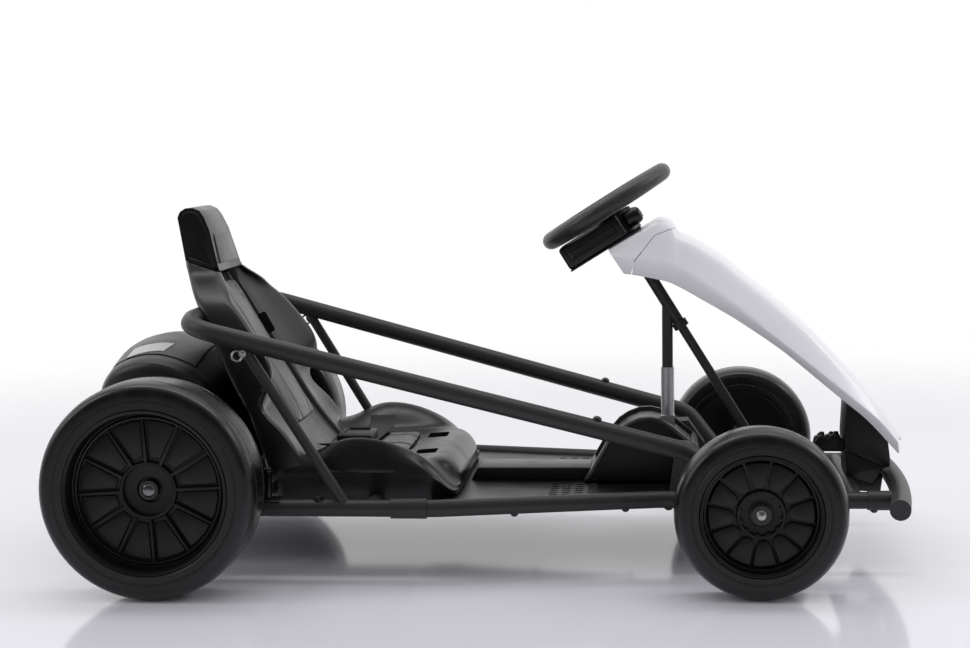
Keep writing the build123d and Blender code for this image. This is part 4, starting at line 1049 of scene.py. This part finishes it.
# Rows of slots under each foot: first place, pitch, half length along X and Y
SLOT_X, SLOT_Y, PITCH_X, PITCH_Y, SLOT_LONG, SLOT_WIDE = 68, 61, 16, 13.6, 5, 3.4
holes = []
for side in (1, -1):
    for column in range(4):
        for row in range(6):
            x, y = SLOT_X + PITCH_X * column, (SLOT_Y + PITCH_Y * row) * side
            holes.append(brick(x - SLOT_LONG, x + SLOT_LONG, y - SLOT_WIDE, y + SLOT_WIDE, PAN_TOP - 6,
                               PAN_TOP + 3, 1.2, 1))
cut(pan, joined(*holes))
soften(pan, 0.8, 1, 50)
pan = joined(pan, tunnel)
done(pan, "floor_pan_sheet", "body_black", ["floor_pan"], sharp=32)

# Screws, bolts and small brackets

# The upper side tube's middle line: its ends in X, its rear Y and how far it draws in, then Z at one X and
# how fast it falls
HOOP_REAR_X, HOOP_FRONT_X, HOOP_REAR_Y, HOOP_DRAW = -366.0, 240.0, 216.9, 51.2
HOOP_Z_X, HOOP_Z, HOOP_FALL = -323, 301.7, 0.2666
HOOP_UP = Vector((0.2576, 0, 0.9662))
HOOP_RADIUS = 11.2
# The lower rail's Y at the rear, how far it draws in, and where and over what length
RAIL_Y, RAIL_DRAW, RAIL_BEND_X, RAIL_BEND_LENGTH = 200.0, 62.0, -68, 268
RAIL_Z = 88.5


def hex_head(place, radius, height):
    """A hexagon head on its washer."""
    head = turned([(0.001, 0), (radius, 0), (radius, height * 0.8), (radius * 0.8, height), (0.001, height)],
                  Matrix(), 6)
    soften(head, 0.3, 2, 25)
    washer = turned([(0.001, -0.2), (radius * 1.4, -0.2), (radius * 1.4, 1.0), (0.001, 1.0)], Matrix(), 32)
    return placed(joined(head, washer), place)


def dome_head(place, radius, height):
    return turned([(0.001, -1), (radius, -1), (radius, height * 0.25), (radius * 0.85, height * 0.6),
                   (radius * 0.5, height * 0.92), (0.001, height)], place, 32)


def hoop_spot(x):
    """The upper side tube's middle line at x."""
    share = (x - HOOP_REAR_X) / (HOOP_FRONT_X - HOOP_REAR_X)
    return Vector((x, HOOP_REAR_Y - HOOP_DRAW * share, HOOP_Z - HOOP_FALL * (x - HOOP_Z_X)))


def rail_side(x):
    """The lower rail's distance from the middle at x."""
    return RAIL_Y - RAIL_DRAW * min(max((x - RAIL_BEND_X) / RAIL_BEND_LENGTH, 0), 1)


upside = Matrix.Rotation(math.pi, 4, "X")
# Screws under the rails; columns: x, how far below the rail's middle line
heads = [dome_head(upright(x, rail_side(x), RAIL_Z - below) @ upside, 4.6, 3.6)
         for x, below in ((24, 10.3), (159, 10.3), (462, 11.8))]
# Heads at the strut's eye, on the seat mount and on the rail
heads.append(hex_head(wheel_place(-299, 216.4, 281, 1), 5.2, 4.2))
heads.append(hex_head(upright(-277, RAIL_Y, 133.8), 5.0, 4.4))
heads.append(hex_head(upright(-214, RAIL_Y, 99.0), 4.6, 3.8))
knob_foot = hoop_spot(123) + HOOP_UP * HOOP_RADIUS
heads.append(dome_head(along(knob_foot, knob_foot + HOOP_UP), 5.6, 5.0))
screws = both_sides(joined(*heads))
done(screws, "frame_screw_heads", "frame_paint", sharp=35, material=SCREW)
bpy.ops.mesh.primitive_torus_add(major_radius=0.0062, minor_radius=0.0014, major_segments=40,
                                 minor_segments=12)
eye = placed(bpy.context.object, wheel_place(-306.5, 219.2, 278, 1))
eye_bolts = both_sides(joined(eye, hex_head(wheel_place(-299, 220.4, 281, 1), 3.2, 2.4)))
done(eye_bolts, "strut_eye_bolts", "bright_steel", sharp=35)
mount = brick(-281.5, -272.5, 194, 206, 96, 134, 1.0)
foot = brick(-292, -262, 191, 209, 97, 101.5, 1.0)
mounts = both_sides(joined(mount, foot))
done(mounts, "seat_mount_brackets", "frame_paint", sharp=35)
BRACKET_TOP, KINGPIN_HEAD_Z = 130.8, 122.4
# columns: x, y, radius, height
BRACKET_BOLTS = [(405, 0, 5.0, 15.0), (418, -4, 4.4, 17.5), (429, 5, 4.0, 20.0), (411, 7, 4.0, 19.0)]
bracket_bolts = joined(*[hex_head(upright(x, y, BRACKET_TOP), radius, height)
                         for x, y, radius, height in BRACKET_BOLTS])
done(bracket_bolts, "nose_bracket_bolts", "bright_steel", sharp=35, material=SCREW)
kingpin_heads = both_sides(hex_head(upright(FRONT_AXLE[0], KINGPIN_Y, KINGPIN_HEAD_Z), 6.0, 4.0))
done(kingpin_heads, "kingpin_heads", "bright_steel", sharp=35, material=SCREW)

# Steering wheel and its box

RING_RADIUS, GRIP_RADIUS = 83.5, 11.5
bpy.ops.mesh.primitive_torus_add(major_radius=RING_RADIUS / 1000, minor_radius=GRIP_RADIUS / 1000,
                                 major_segments=120, minor_segments=28)
grip = bpy.context.object
for vertex in grip.data.vertices:
    place = vertex.co * 1000
    around = math.atan2(place.y, place.x)
    # A little thicker where the hands hold, with soft finger waves inside
    hold = math.exp(-((abs(math.sin(around)) - 1) / 0.28) ** 2)
    off = math.hypot(place.x, place.y) - RING_RADIUS
    wave = 0.5 * hold * math.cos(around * 26) * (off < 0)
    radius = RING_RADIUS + off * (1 + 0.05 * hold) + wave * off / GRIP_RADIUS
    vertex.co = mm((radius * math.cos(around), radius * math.sin(around), place.z * (0.96 + 0.04 * hold)))
placed(grip, steer_place())
spokes = thick([(-76, -9, -1), (-76, 9, -1), (-30, 14, -1), (-24, 20, -1), (-20, 30, -1), (-12, 77, -1),
                (8, 77, -1), (16, 32, -1), (26, 20, -1), (30, 0, -1), (26, -20, -1), (16, -32, -1),
                (8, -77, -1), (-12, -77, -1), (-20, -30, -1), (-24, -20, -1), (-30, -14, -1)], (0, 0, 6), 1.6,
               3, 20)
placed(spokes, steer_place(-2))
pad = turned([(0.001, -8), (17, -7.4), (20, -6.2), (21, -4), (21, 0), (0.001, 0)], steer_place(-1), 48)
ring = turned([(22, -5.4), (24.5, -5.4), (25.2, -4.6), (25.2, 0), (22, 0)], steer_place(-1), 48)
hub = turned([(0.001, 3), (16, 3), (15, 11), (0.001, 12)], steer_place(), 40)
buttons = []
for across, aside in ((-4, 38), (-4, -38), (-4, 50), (-4, -50)):
    place = steer_place(-2, across, aside)
    buttons.append(turned([(0.001, -4.6), (3.6, -4.4), (4.2, -3.6), (4.2, 0), (0.001, 0)], place, 20))
wheel_middle = joined(spokes, pad, ring, hub, *buttons)
done(grip, "steering_grip", "grip", ["steering_wheel"], sharp=60, body="steering")
done(wheel_middle, "steering_spokes", "body_black", sharp=32, body="steering")


def column_box(x0, x1, half, z0, z1, bevel, segments=3):
    """A rounded box set square to the column."""
    return placed(brick(x0, x1, -half, half, z0, z1, bevel, segments), steer_place())


BOX_HALF = 35
box = column_box(-81, 6, BOX_HALF, 14, 45, 4)
base_plate = column_box(-81, 24, 36, 44.6, 47, 1.0, 2)
drum = turned([(8, 14), (22.6, 14), (24.6, 15), (25.4, 17.4), (25.4, 44), (8, 44)], steer_place(), 56)
knob_place = steer_place(29, 22, -20) @ Matrix.Rotation(math.radians(90), 4, "Y")
knob = turned([(0.001, 13), (6, 12.4), (9.4, 10), (11, 6), (11.2, 2), (11.2, -8), (0.001, -8)], knob_place,
              36)
box = joined(box, base_plate, drum, knob)
edit_faces(box, lambda c, n: (abs(n.y) > 0.99 and abs(abs(c.y) - BOX_HALF) < 0.3
                              and (c - WHEEL_CENTRE).dot(ACROSS) < -20))
inset((0.006, 0.0), (0.0012, -0.0014))
done(box, "control_box_case", "body_black", ["control_box"], sharp=32)
